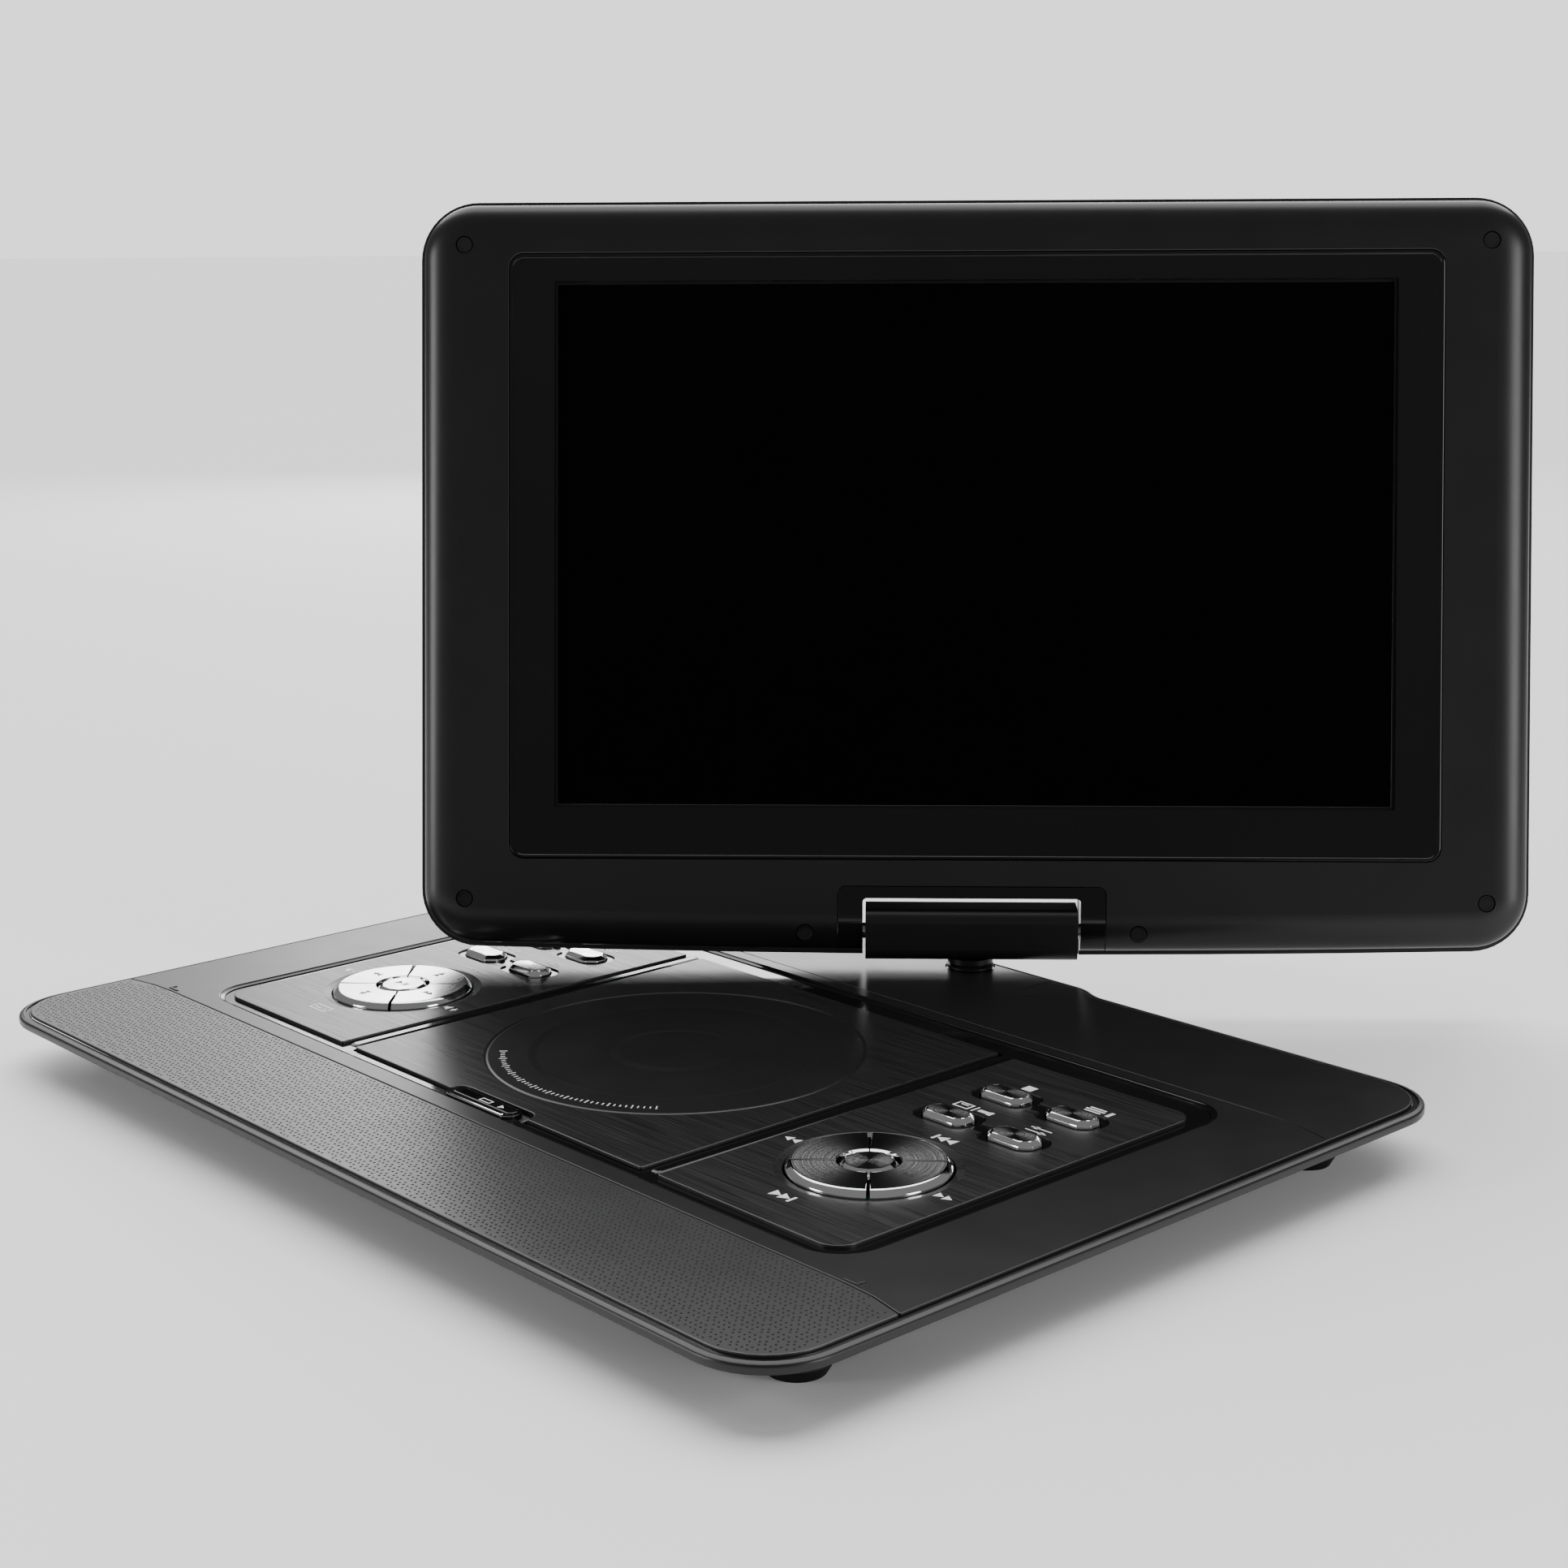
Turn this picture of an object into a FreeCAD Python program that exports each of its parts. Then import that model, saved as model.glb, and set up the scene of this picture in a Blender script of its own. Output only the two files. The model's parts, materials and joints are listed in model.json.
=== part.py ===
"""Portable DVD player: wide flat base with a disc bay, two key panels and a swivelling, tilting screen.

Frame: millimetres, +Z up, +X to the right, -Y towards the user. The origin is the centre of the base on
the plane that the four feet stand on. The screen is turned and tilted back as it is used.
"""
import FreeCAD, Part
import math
import os
import Sketcher

Vector = FreeCAD.Vector

DIMENSIONS = [
    # base casing
    ("base_width", 400.0, "left to right over the flange"),
    ("base_depth", 289.0, "front to back over the flange"),
    ("base_corner", 24.0, "plan radius of the base corners"),
    ("flange_low", 15.5, "underside of the flange above the feet"),
    ("deck_top", 19.3, "top of the deck above the feet"),
    ("deck_skin", 2.0, "deck thickness"),
    ("rim_width", 6.0, "solid rim round the cavity"),
    ("tongue_width", 94.0, "rear tongue that carries the neck"),
    ("tongue_reach", 4.3, "how far the tongue stands out behind"),
    ("cover_inset", 8.0, "bottom cover edge inside the flange edge"),
    ("cover_low", 3.2, "underside of the bottom cover"),
    ("cover_slope", 47.0, "plan width of the sloping sides"),
    ("cover_wall", 2.0, "bottom cover thickness"),
    ("foot_spread_x", 171.5, "foot centres from the middle"),
    ("foot_spread_y", 106.5, "foot centres from the middle"),
    ("foot_radius", 8.0, "foot sole"),
    ("foot_rubber", 3.5, "rubber height"),
    ("screw_x", 128.0, "cover screws from the middle"),
    ("screw_y", 76.0, "cover screws from the middle"),
    # recessed frame, panels and lid
    ("frame_width", 326.0, "recessed frame round lid and panels"),
    ("frame_depth", 165.4, "recessed frame front to back"),
    ("frame_y", -0.7, "middle of the recessed frame"),
    ("frame_corner", 15.0, "recessed frame corner radius"),
    ("frame_sink", 1.0, "depth of the recess"),
    ("lid_width", 149.0, "disc lid"),
    ("lid_depth", 150.6, "disc lid"),
    ("lid_y", -2.7, "middle of the disc lid"),
    ("lid_thick", 2.0, "disc lid"),
    ("lid_gap", 0.6, "gap at the sides of the lid"),
    ("lid_front_gap", 1.0, "gap in front of the lid"),
    ("lid_rear_gap", 1.7, "gap behind the lid, where its edge swings"),
    ("panel_inner", 82.0, "inner edge of a control panel"),
    ("panel_outer", 156.7, "outer edge of a control panel"),
    ("panel_depth", 149.8, "control panel front to back"),
    ("panel_y", -3.3, "middle of a control panel"),
    ("panel_corner", 7.5, "outer corners of a control panel"),
    ("panel_thick", 1.1, "control panel plate"),
    # keys
    ("pad_x", 118.6, "direction pad centre"),
    ("pad_y", -29.5, "direction pad centre"),
    ("pad_hole", 24.9, "hole for the direction pad"),
    ("pad_rim", 24.4, "direction pad side radius"),
    ("pad_face", 22.8, "direction pad flat face radius"),
    ("pad_eye", 9.4, "inner radius of the direction pad"),
    ("pad_slot", 2.6, "angle of the slot between two keys"),
    ("centre_key", 8.6, "radius of the middle key"),
    ("key_low", 15.4, "underside of every key"),
    ("key_top", 21.2, "top of every key"),
    ("key_flange", 1.8, "retaining flange thickness"),
    ("key_ledge", 1.2, "flange outside the key"),
    ("pill_near", 105.5, "inner column of pill keys"),
    ("pill_far", 132.5, "outer column of pill keys"),
    ("pill_front", 16.8, "front row of pill keys"),
    ("pill_back", 42.6, "back row of pill keys"),
    ("pill_length", 18.0, "pill key along X"),
    ("pill_width", 10.0, "pill key along Y"),
    ("pill_cut", 3.0, "corner cut of a pill key"),
    ("pill_bevel", 1.4, "bevel round the top of a pill key"),
    ("pill_room", 0.4, "clearance round a pill key"),
    # speaker strip
    ("strip_front", -138.5, "front edge of the speaker strip"),
    ("strip_back", -90.5, "rear edge of the speaker strip"),
    ("strip_half", 193.5, "half width of the speaker strip"),
    ("strip_corner", 17.5, "front corners of the strip"),
    ("strip_thick", 1.0, "speaker strip plate"),
    ("speaker_x", 145.0, "speaker centre"),
    ("speaker_y", -102.0, "speaker centre"),
    ("speaker_length", 36.0, "speaker"),
    ("speaker_width", 20.0, "speaker"),
    ("speaker_height", 4.2, "speaker"),
    # disc drive
    ("disc_y", -2.0, "spindle line"),
    ("tray_width", 168.0, "loader tray"),
    ("tray_depth", 162.0, "loader tray"),
    ("tray_low", 11.0, "underside of the tray floor"),
    ("tray_floor", 12.0, "top of the tray floor in the disc well"),
    ("tray_step", 15.2, "top of the tray under the lid frame"),
    ("well_radius", 62.5, "disc well"),
    ("hub_radius", 7.35, "hub that centres the disc"),
    ("platter_radius", 14.5, "turntable"),
    ("disc_seat", 13.0, "plane that the disc rests on"),
    ("hub_top", 15.8, "top of the hub"),
    ("motor_radius", 12.0, "spindle motor"),
    ("rod_radius", 1.5, "sled rods and lead screw"),
    ("rod_height", 8.6, "sled rod axis"),
    ("rod_spread", 16.0, "sled rods from the spindle line"),
    ("screw_offset", 21.5, "lead screw from the spindle line"),
    ("rod_start", 15.5, "inner ends of rods and screw"),
    ("rod_end", 72.0, "outer ends of rods and screw"),
    ("running_gap", 0.06, "radial clearance of a running fit"),
    ("sled_start", 16.5, "inner end of the sled at rest"),
    ("lens_inset", 7.5, "lens from the inner end of the sled"),
    ("sled_length", 22.0, "sled along its travel"),
    # lid hinge and latch
    ("lid_axis_y", 71.2, "lid hinge axis"),
    ("lid_axis_z", 15.9, "lid hinge axis"),
    ("lid_pin", 1.2, "lid pin radius"),
    ("latch_length", 34.0, "latch slider along X"),
    ("latch_width", 8.0, "latch slider along Y"),
    ("latch_x", -2.6, "latch slider centre at rest"),
    ("latch_y", -77.9, "latch slider centre"),
    ("latch_notch", 39.6, "notch in the lid for the latch"),
    # neck and screen
    ("neck_y", 137.3, "swivel axis"),
    ("hinge_z", 32.7, "tilt axis above the feet"),
    ("shaft_radius", 5.0, "swivel shaft"),
    ("collar_radius", 8.2, "neck collar"),
    ("rest_swivel", 45.5, "screen turned from straight ahead, degrees"),
    ("rest_tilt", 11.3, "screen leaned back, degrees"),
    ("block_half", 38.2, "half width of the hinge block"),
    ("block_reach", 9.3, "hinge block from its axis"),
    ("block_round", 4.5, "long edges of the hinge block"),
    ("notch_half", 39.2, "half width of the notch in the screen"),
    ("notch_top", 12.1, "top of the notch above the tilt axis"),
    ("pin_radius", 3.0, "tilt pins"),
    ("pin_end", 48.4, "outer ends of the tilt pins"),
    ("knuckle_radius", 4.8, "knuckles of the tilt brackets"),
    ("knuckle_start", 41.4, "inner ends of the knuckles"),
    ("screen_width", 401.0, "screen casing"),
    ("screen_top", 264.1, "top of the casing above the tilt axis"),
    ("screen_low", -8.7, "lowest point of the casing"),
    ("screen_end_rise", 2.6, "ends of the bottom edge above its middle"),
    ("screen_corner", 21.0, "screen casing corners"),
    ("screen_half", 9.0, "half thickness of the casing"),
    ("screen_back_edge", 5.0, "rounding of the back of the casing"),
    ("screen_front_edge", 7.0, "rounding of the front of the casing"),
    ("bezel_inset", 1.5, "front shell inside the rear shell"),
    ("shell_skin", 2.0, "screen shell thickness"),
    ("lcd_y", 139.4, "picture centre above the tilt axis"),
    ("lcd_width", 302.0, "picture"),
    ("lcd_height", 189.8, "picture"),
    ("surround_half", 167.0, "half width of the glossy surround"),
    ("surround_up", 104.5, "surround above the picture centre"),
    ("surround_down", 113.2, "surround below the picture centre"),
    ("surround_corner", 5.0, "surround corners"),
    ("cheek_half", 48.4, "half width of the hinge escutcheon"),
    ("cheek_top", 16.6, "top of the hinge escutcheon"),
    ("plug_side_x", 183.5, "screw plugs at the sides"),
    ("plug_side_up", 247.3, "upper plugs above the tilt axis"),
    ("plug_side_down", 11.3, "lower plugs above the tilt axis"),
    ("plug_low_x", 60.0, "plugs beside the hinge"),
    ("plug_low_y", -0.5, "plugs beside the hinge"),
    ("plug_radius", 3.0, "screw plugs"),
    ("plug_deep", 1.2, "screw plugs"),
    # sockets on the left side
    ("port_wall", -187.0, "outer face of the socket wall"),
    ("port_skin", 2.0, "socket wall thickness"),
    ("port_axis_z", 11.5, "height of the sockets"),
    ("port_front", -52.0, "front end of the socket housing"),
    ("port_back", 62.0, "rear end of the socket housing"),
    ("jack_bore", 1.8, "3.5 mm jack bore radius"),
    ("jack_nose", 2.9, "jack nose radius"),
    ("jack_depth", 12.0, "jack bore length"),
    ("dc_bore", 2.75, "power inlet bore radius"),
    ("dc_y", 50.0, "power inlet"),
    ("phones_y", 36.0, "headphone jack"),
    ("av_y", 25.0, "audio and video jack"),
    ("usb_y", 8.0, "USB port"),
    ("card_y", -17.0, "memory card slot"),
    ("switch_y", -40.0, "power switch"),
]

doc = FreeCAD.newDocument("portable_dvd_player")
sheet = doc.addObject("Spreadsheet::Sheet", "dims")
for row, (alias, number, meaning) in enumerate(DIMENSIONS, start=1):
    sheet.set(f"A{row}", meaning)
    sheet.set(f"B{row}", str(number))
    sheet.setAlias(f"B{row}", alias)
doc.recompute()


class Size:
    """A length worked out from the sheet: its number now, and the expression that keeps it bound."""

    def __init__(self, number, text):
        self.number = number
        self.text = text

    def __add__(self, other):
        other = as_size(other)
        return Size(self.number + other.number, f"({self.text} + {other.text})")

    def __sub__(self, other):
        other = as_size(other)
        return Size(self.number - other.number, f"({self.text} - {other.text})")

    def __mul__(self, other):
        other = as_size(other)
        return Size(self.number * other.number, f"({self.text} * {other.text})")

    def __truediv__(self, other):
        other = as_size(other)
        return Size(self.number / other.number, f"({self.text} / {other.text})")

    def __neg__(self):
        return self * -1

    def __radd__(self, other):
        return as_size(other) + self

    def __rsub__(self, other):
        return as_size(other) - self

    def __rmul__(self, other):
        return as_size(other) * self


def as_size(value):
    if isinstance(value, Size):
        return value
    return Size(float(value), f"({float(value)!r})")


class Dimensions:
    """Gives each alias of the sheet as a Size."""

    def __getattr__(self, alias):
        return Size(float(sheet.get(alias)), f"dims.{alias}")


d = Dimensions()
nodes = []


def keep(thing, label):
    """Names a finished sub-part and puts it on the list to be written."""
    thing.Label = label
    nodes.append(thing)
    return thing


# ---------------------------------------------------------------- sketches


def new_body(label, x=0, y=0, z=0):
    """A body whose own origin stands at x, y, z."""
    body = doc.addObject("PartDesign::Body", label)
    for axis, value in zip("xyz", (x, y, z)):
        body.setExpression(f"Placement.Base.{axis}", as_size(value).text)
    return keep(body, label)


def new_sketch(body, level=0, plane="XY_Plane"):
    sketch = body.newObject("Sketcher::SketchObject", "sketch")
    support = next(f for f in body.Origin.OriginFeatures if f.Role == plane)
    sketch.AttachmentSupport = [(support, "")]
    sketch.MapMode = "FlatFace"
    sketch.setExpression("AttachmentOffset.Base.z", as_size(level).text)
    return sketch


def bind(sketch, kind, *parts):
    """Adds a dimension to a sketch and binds it to its Size, the last of parts."""
    size = as_size(parts[-1])
    index = sketch.addConstraint(Sketcher.Constraint(kind, *parts[:-1], size.number))
    sketch.renameConstraint(index, f"c{index}")
    sketch.setExpression(f"Constraints.c{index}", size.text)


def pin_point(sketch, edge, end, x, y):
    """Holds a point at x, y from the sketch's origin."""
    for kind, level_kind, size in (
        ("DistanceX", "Vertical", as_size(x)),
        ("DistanceY", "Horizontal", as_size(y)),
    ):
        if abs(size.number) < 1e-9:
            sketch.addConstraint(Sketcher.Constraint(level_kind, -1, 1, edge, end))
        else:
            bind(sketch, kind, -1, 1, edge, end, size)


def add_polygon(sketch, corners):
    """A closed polygon whose corners are pairs of sizes."""
    points = [Vector(as_size(x).number, as_size(y).number, 0) for x, y in corners]
    edges = []
    for start, stop in zip(points, points[1:] + points[:1]):
        edges.append(sketch.addGeometry(Part.LineSegment(start, stop), False))
    for edge, following in zip(edges, edges[1:] + edges[:1]):
        sketch.addConstraint(Sketcher.Constraint("Coincident", edge, 2, following, 1))
    for edge, (x, y) in zip(edges, corners):
        pin_point(sketch, edge, 1, x, y)


def add_rectangle(sketch, width, depth, x=0, y=0):
    half_x = as_size(width) / 2
    half_y = as_size(depth) / 2
    add_polygon(
        sketch,
        [
            (x - half_x, y - half_y),
            (x + half_x, y - half_y),
            (x + half_x, y + half_y),
            (x - half_x, y + half_y),
        ],
    )


def add_circle(sketch, radius, x=0, y=0):
    radius = as_size(radius)
    centre = Vector(as_size(x).number, as_size(y).number, 0)
    circle = sketch.addGeometry(Part.Circle(centre, Vector(0, 0, 1), radius.number), False)
    bind(sketch, "Radius", circle, radius)
    pin_point(sketch, circle, 3, x, y)


def add_rounded_rectangle(sketch, width, depth, radius, x=0, y=0):
    """A rectangle with equal corner arcs, centred on x, y."""
    width, depth, radius = as_size(width), as_size(depth), as_size(radius)
    x, y = as_size(x), as_size(y)
    half_x, half_y, r = width.number / 2, depth.number / 2, radius.number
    centre_x, centre_y = half_x - r, half_y - r
    arcs = []
    for quarter, (sign_x, sign_y) in enumerate(((1, 1), (-1, 1), (-1, -1), (1, -1))):
        centre = Vector(x.number + sign_x * centre_x, y.number + sign_y * centre_y, 0)
        circle = Part.Circle(centre, Vector(0, 0, 1), r)
        first = quarter * math.pi / 2
        arcs.append(sketch.addGeometry(Part.ArcOfCircle(circle, first, first + math.pi / 2), False))
    lines = []
    for arc, following in zip(arcs, arcs[1:] + arcs[:1]):
        start = sketch.Geometry[arc].EndPoint
        stop = sketch.Geometry[following].StartPoint
        line = sketch.addGeometry(Part.LineSegment(start, stop), False)
        sketch.addConstraint(Sketcher.Constraint("Tangent", arc, 2, line, 1))
        sketch.addConstraint(Sketcher.Constraint("Tangent", line, 2, following, 1))
        lines.append(line)
    top, left, bottom, right = lines
    for arc in arcs[1:]:
        sketch.addConstraint(Sketcher.Constraint("Equal", arcs[0], arc))
    sketch.addConstraint(Sketcher.Constraint("Horizontal", top))
    sketch.addConstraint(Sketcher.Constraint("Vertical", left))
    bind(sketch, "Radius", arcs[0], radius)
    bind(sketch, "DistanceX", left, 1, right, 1, width)
    bind(sketch, "DistanceY", bottom, 1, top, 1, depth)
    bind(sketch, "DistanceX", -1, 1, right, 1, x + width / 2)
    bind(sketch, "DistanceY", -1, 1, top, 1, y + depth / 2)


# ---------------------------------------------------------------- features


def settle(body, feature, grows):
    """Recomputes and makes sure that the feature added or removed material."""
    before = feature.BaseFeature.Shape.Volume if feature.BaseFeature else 0.0
    doc.recompute()
    change = feature.Shape.Volume - before
    if (change > 0) != grows:
        raise RuntimeError(f"{body.Label}: {feature.Name} changed the volume by {change:.3f}")
    return feature


def pad(body, sketch, height):
    feature = body.newObject("PartDesign::Pad", "pad")
    feature.Profile = sketch
    feature.setExpression("Length", as_size(height).text)
    return settle(body, feature, True)


def pocket(body, sketch, depth):
    """Cuts from the sketch's plane down, against its normal."""
    feature = body.newObject("PartDesign::Pocket", "pocket")
    feature.Profile = sketch
    feature.setExpression("Length", as_size(depth).text)
    return settle(body, feature, False)


def revolve(body, corners, angle=360.0):
    """Turns a closed profile of (radius, height) pairs about the body's own Z axis."""
    sketch = new_sketch(body, plane="XZ_Plane")
    add_polygon(sketch, corners)
    feature = body.newObject("PartDesign::Revolution", "revolution")
    feature.Profile = sketch
    feature.ReferenceAxis = (sketch, ["V_Axis"])
    feature.setExpression("Angle", as_size(angle).text)
    return settle(body, feature, True)


def loft(body, kind, low, high):
    feature = body.newObject(kind, "loft")
    feature.Profile = low
    feature.Sections = [high]
    feature.Ruled = True
    return settle(body, feature, kind.endswith("AdditiveLoft"))


def edges_where(shape, test):
    return [f"Edge{n}" for n, edge in enumerate(shape.Edges, start=1) if test(edge)]


def dress(body, kind, names, radius):
    """Rounds (Fillet) or bevels (Chamfer) the named edges of the body's last feature."""
    base = body.Tip
    feature = body.newObject(kind, "dress")
    feature.Base = (base, names)
    size_name = "Radius" if kind.endswith("Fillet") else "Size"
    feature.setExpression(size_name, as_size(radius).text)
    doc.recompute()
    return feature


def round_uprights(body, corners, radius):
    """Rounds the upright edges that stand at the given x, y points."""
    spots = [(as_size(x).number, as_size(y).number) for x, y in corners]

    def is_wanted(edge):
        first, last = edge.Vertexes[0].Point, edge.Vertexes[-1].Point
        if abs(first.x - last.x) > 0.01 or abs(first.y - last.y) > 0.01 or first == last:
            return False
        return any(math.hypot(first.x - x, first.y - y) < 0.05 for x, y in spots)

    shape = body.Tip.Shape
    return dress(body, "PartDesign::Fillet", edges_where(shape, is_wanted), radius)


def rim_edges(body, height, margin):
    """Names of the edges at one height that run along the outside of the body."""
    height = as_size(height).number
    box = body.Tip.Shape.BoundBox

    def is_outside(edge):
        if any(abs(v.Point.z - height) > 0.01 for v in edge.Vertexes):
            return False
        mid = edge.valueAt((edge.FirstParameter + edge.LastParameter) / 2)
        if abs(mid.z - height) > 0.01:
            return False
        reach_x = min(mid.x - box.XMin, box.XMax - mid.x)
        reach_y = min(mid.y - box.YMin, box.YMax - mid.y)
        return min(reach_x, reach_y) < margin

    return edges_where(body.Tip.Shape, is_outside)


def cut_rectangle(body, top, depth, width, length, x=0, y=0):
    sketch = new_sketch(body, top)
    add_rectangle(sketch, width, length, x, y)
    return pocket(body, sketch, depth)


def cut_round_corners(body, top, depth, width, length, radius, x=0, y=0):
    sketch = new_sketch(body, top)
    add_rounded_rectangle(sketch, width, length, radius, x, y)
    return pocket(body, sketch, depth)


def cut_circle(body, top, depth, radius, x=0, y=0):
    sketch = new_sketch(body, top)
    add_circle(sketch, radius, x, y)
    return pocket(body, sketch, depth)


def cut_across(body, start, length, radius, y, z):
    """Cuts a round hole along X: start is its high-x end and it runs length towards -x."""
    sketch = new_sketch(body, start, "YZ_Plane")
    add_circle(sketch, radius, y, z)
    return pocket(body, sketch, length)


def cut_window(body, start, length, width, height, y, z):
    """Cuts a rectangular window along X, as cut_across does."""
    sketch = new_sketch(body, start, "YZ_Plane")
    add_rectangle(sketch, width, height, y, z)
    return pocket(body, sketch, length)


def add_box(body, low, height, width, length, x=0, y=0):
    sketch = new_sketch(body, low)
    add_rectangle(sketch, width, length, x, y)
    return pad(body, sketch, height)


# ---------------------------------------------------------------- primitives


def box(name, width, depth, height, x, y, z):
    """A Part box given by its size and the centre of its underside."""
    thing = doc.addObject("Part::Box", name)
    for prop, value in (("Length", width), ("Width", depth), ("Height", height)):
        thing.setExpression(prop, as_size(value).text)
    thing.setExpression("Placement.Base.x", (x - as_size(width) / 2).text)
    thing.setExpression("Placement.Base.y", (y - as_size(depth) / 2).text)
    thing.setExpression("Placement.Base.z", as_size(z).text)
    return thing


def rod(name, radius, length, x, y, z, along="Z"):
    """A Part cylinder that starts at x, y, z and runs along +X or +Z."""
    thing = doc.addObject("Part::Cylinder", name)
    thing.setExpression("Radius", as_size(radius).text)
    thing.setExpression("Height", as_size(length).text)
    if along == "X":
        thing.Placement = FreeCAD.Placement(Vector(), FreeCAD.Rotation(Vector(0, 1, 0), 90))
    for axis, value in zip("xyz", (x, y, z)):
        thing.setExpression(f"Placement.Base.{axis}", as_size(value).text)
    return thing


def fuse(name, things):
    thing = doc.addObject("Part::MultiFuse", name)
    thing.Shapes = things
    thing.Refine = True
    return thing


def cut(name, base, tool):
    thing = doc.addObject("Part::Cut", name)
    thing.Base = base
    thing.Tool = tool
    return thing


def group(name, things):
    thing = doc.addObject("Part::Compound", name)
    thing.Links = things
    return keep(thing, name)


# ---------------------------------------------------------------- base casing

deck = d.deck_top - d.flange_low
under_deck = deck - d.deck_skin
tongue_end = d.base_depth / 2 + d.tongue_reach
pill_spots = [(x, y) for y in (d.pill_front, d.pill_back) for x in (d.pill_near, d.pill_far)]
sides = (("left", -1), ("right", 1))


def make_top_shell():
    """Deck with its flange, the frame recess, and openings for lid, keys, speakers and neck."""
    body = new_body("base_top_shell", z=d.flange_low)
    sketch = new_sketch(body)
    add_rounded_rectangle(sketch, d.base_width, d.base_depth, d.base_corner)
    pad(body, sketch, deck)
    add_box(body, 0, deck, d.tongue_width, 24, 0, tongue_end - 12)
    sketch = new_sketch(body, under_deck)
    add_rounded_rectangle(
        sketch,
        d.base_width - d.rim_width * 2,
        d.base_depth - d.rim_width * 2,
        d.base_corner - d.rim_width,
    )
    pocket(body, sketch, under_deck)
    cut_rectangle(body, under_deck, under_deck, 56, 22, 0, tongue_end - 13)
    round_uprights(
        body,
        [(-d.tongue_width / 2, tongue_end), (d.tongue_width / 2, tongue_end)],
        3,
    )
    cut_round_corners(
        body, deck, d.frame_sink, d.frame_width, d.frame_depth, d.frame_corner, 0, d.frame_y
    )
    opening_depth = d.lid_depth + d.lid_front_gap + d.lid_rear_gap
    opening_y = d.lid_y + (d.lid_rear_gap - d.lid_front_gap) / 2
    cut_rectangle(body, deck, deck, d.lid_width + d.lid_gap * 2, opening_depth, 0, opening_y)
    notch_front = d.latch_y - d.latch_width / 2 - 0.7
    notch_back = d.lid_y - d.lid_depth / 2
    cut_rectangle(
        body,
        deck,
        deck,
        d.latch_notch,
        notch_back - notch_front,
        0,
        (notch_back + notch_front) / 2,
    )
    for _, side in sides:
        cut_circle(body, deck, deck, d.pad_hole, side * d.pad_x, d.pad_y)
        for x, y in pill_spots:
            cut_round_corners(
                body,
                deck,
                deck,
                d.pill_length + d.pill_room * 2,
                d.pill_width + d.pill_room * 2,
                1.2,
                side * x,
                y,
            )
    strip_depth = d.strip_back - d.strip_front
    strip_mid = (d.strip_back + d.strip_front) / 2
    cut_round_corners(
        body,
        deck,
        d.strip_thick,
        d.strip_half * 2,
        strip_depth,
        d.strip_corner,
        0,
        strip_mid,
    )
    cut_rectangle(
        body, deck, d.strip_thick, d.strip_half * 2, strip_depth / 2, 0, d.strip_back - strip_depth / 4
    )
    for _, side in sides:
        cut_rectangle(
            body,
            deck,
            deck,
            d.speaker_length - 4,
            d.speaker_width - 5,
            side * d.speaker_x,
            d.speaker_y,
        )
    cut_circle(body, deck, 0.8, 11.5, 0, d.neck_y)
    cut_circle(body, deck, deck, d.shaft_radius + 0.8, 0, d.neck_y)
    return body


def make_bottom_cover():
    """Shallow tray with sloping sides, foot bosses, a swivel housing and the socket housing."""
    body = new_body("base_bottom_cover")
    height = d.flange_low - d.cover_low
    floor = d.cover_low + d.cover_wall
    slope = d.cover_slope * 2

    def outline(level, inset, shrink, radius):
        sketch = new_sketch(body, level)
        add_rounded_rectangle(
            sketch,
            d.base_width - inset * 2 - shrink,
            d.base_depth - inset * 2 - shrink,
            radius,
        )
        return sketch

    loft(
        body,
        "PartDesign::AdditiveLoft",
        outline(d.cover_low, d.cover_inset, slope, 20),
        outline(d.flange_low, d.cover_inset, 0, 18),
    )
    for side_x in (-1, 1):
        for side_y in (-1, 1):
            sketch = new_sketch(body, d.foot_rubber)
            add_circle(sketch, 10, side_x * d.foot_spread_x, side_y * d.foot_spread_y)
            pad(body, sketch, height - 3)
    neck_mid = d.neck_y - 10
    add_box(body, 9.0, d.flange_low - 9, 64, 38, 0, neck_mid)
    port_mid = (d.port_front + d.port_back) / 2
    port_long = d.port_back - d.port_front
    port_width = -d.port_wall - 140
    port_x = d.port_wall + port_width / 2
    add_box(body, 5.5, d.flange_low - 5.5, port_width, port_long, port_x, port_mid)
    inset = d.cover_inset + d.cover_wall
    loft(
        body,
        "PartDesign::SubtractiveLoft",
        outline(floor, inset, slope, 18),
        outline(d.flange_low, inset, 0, 16),
    )
    cut_rectangle(body, d.flange_low, 4, 60, 34, 0, neck_mid)
    cut_rectangle(
        body,
        d.flange_low,
        d.flange_low - 7.5,
        port_width - d.port_skin,
        port_long - 4,
        port_x + d.port_skin / 2,
        port_mid,
    )
    for x in (-d.screw_x, 0, d.screw_x):
        for y in (-d.screw_y, d.screw_y):
            cut_circle(body, d.cover_low + 1.1, 1.1, 2.8, x, y)
    wall_end = d.port_wall + d.port_skin + 1
    z = d.port_axis_z
    cut_across(body, wall_end, d.port_skin + 2, 4.2, d.dc_y, z)
    for y in (d.phones_y, d.av_y):
        cut_across(body, wall_end, d.port_skin + 2, d.jack_nose + 0.1, y, z)
    cut_window(body, wall_end, d.port_skin + 2, 13.4, 6.0, d.usb_y, z)
    cut_window(body, wall_end, d.port_skin + 2, 26.4, 3.8, d.card_y, z)
    cut_window(body, wall_end, d.port_skin + 2, 9.4, 3.4, d.switch_y, z)
    return body


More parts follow.
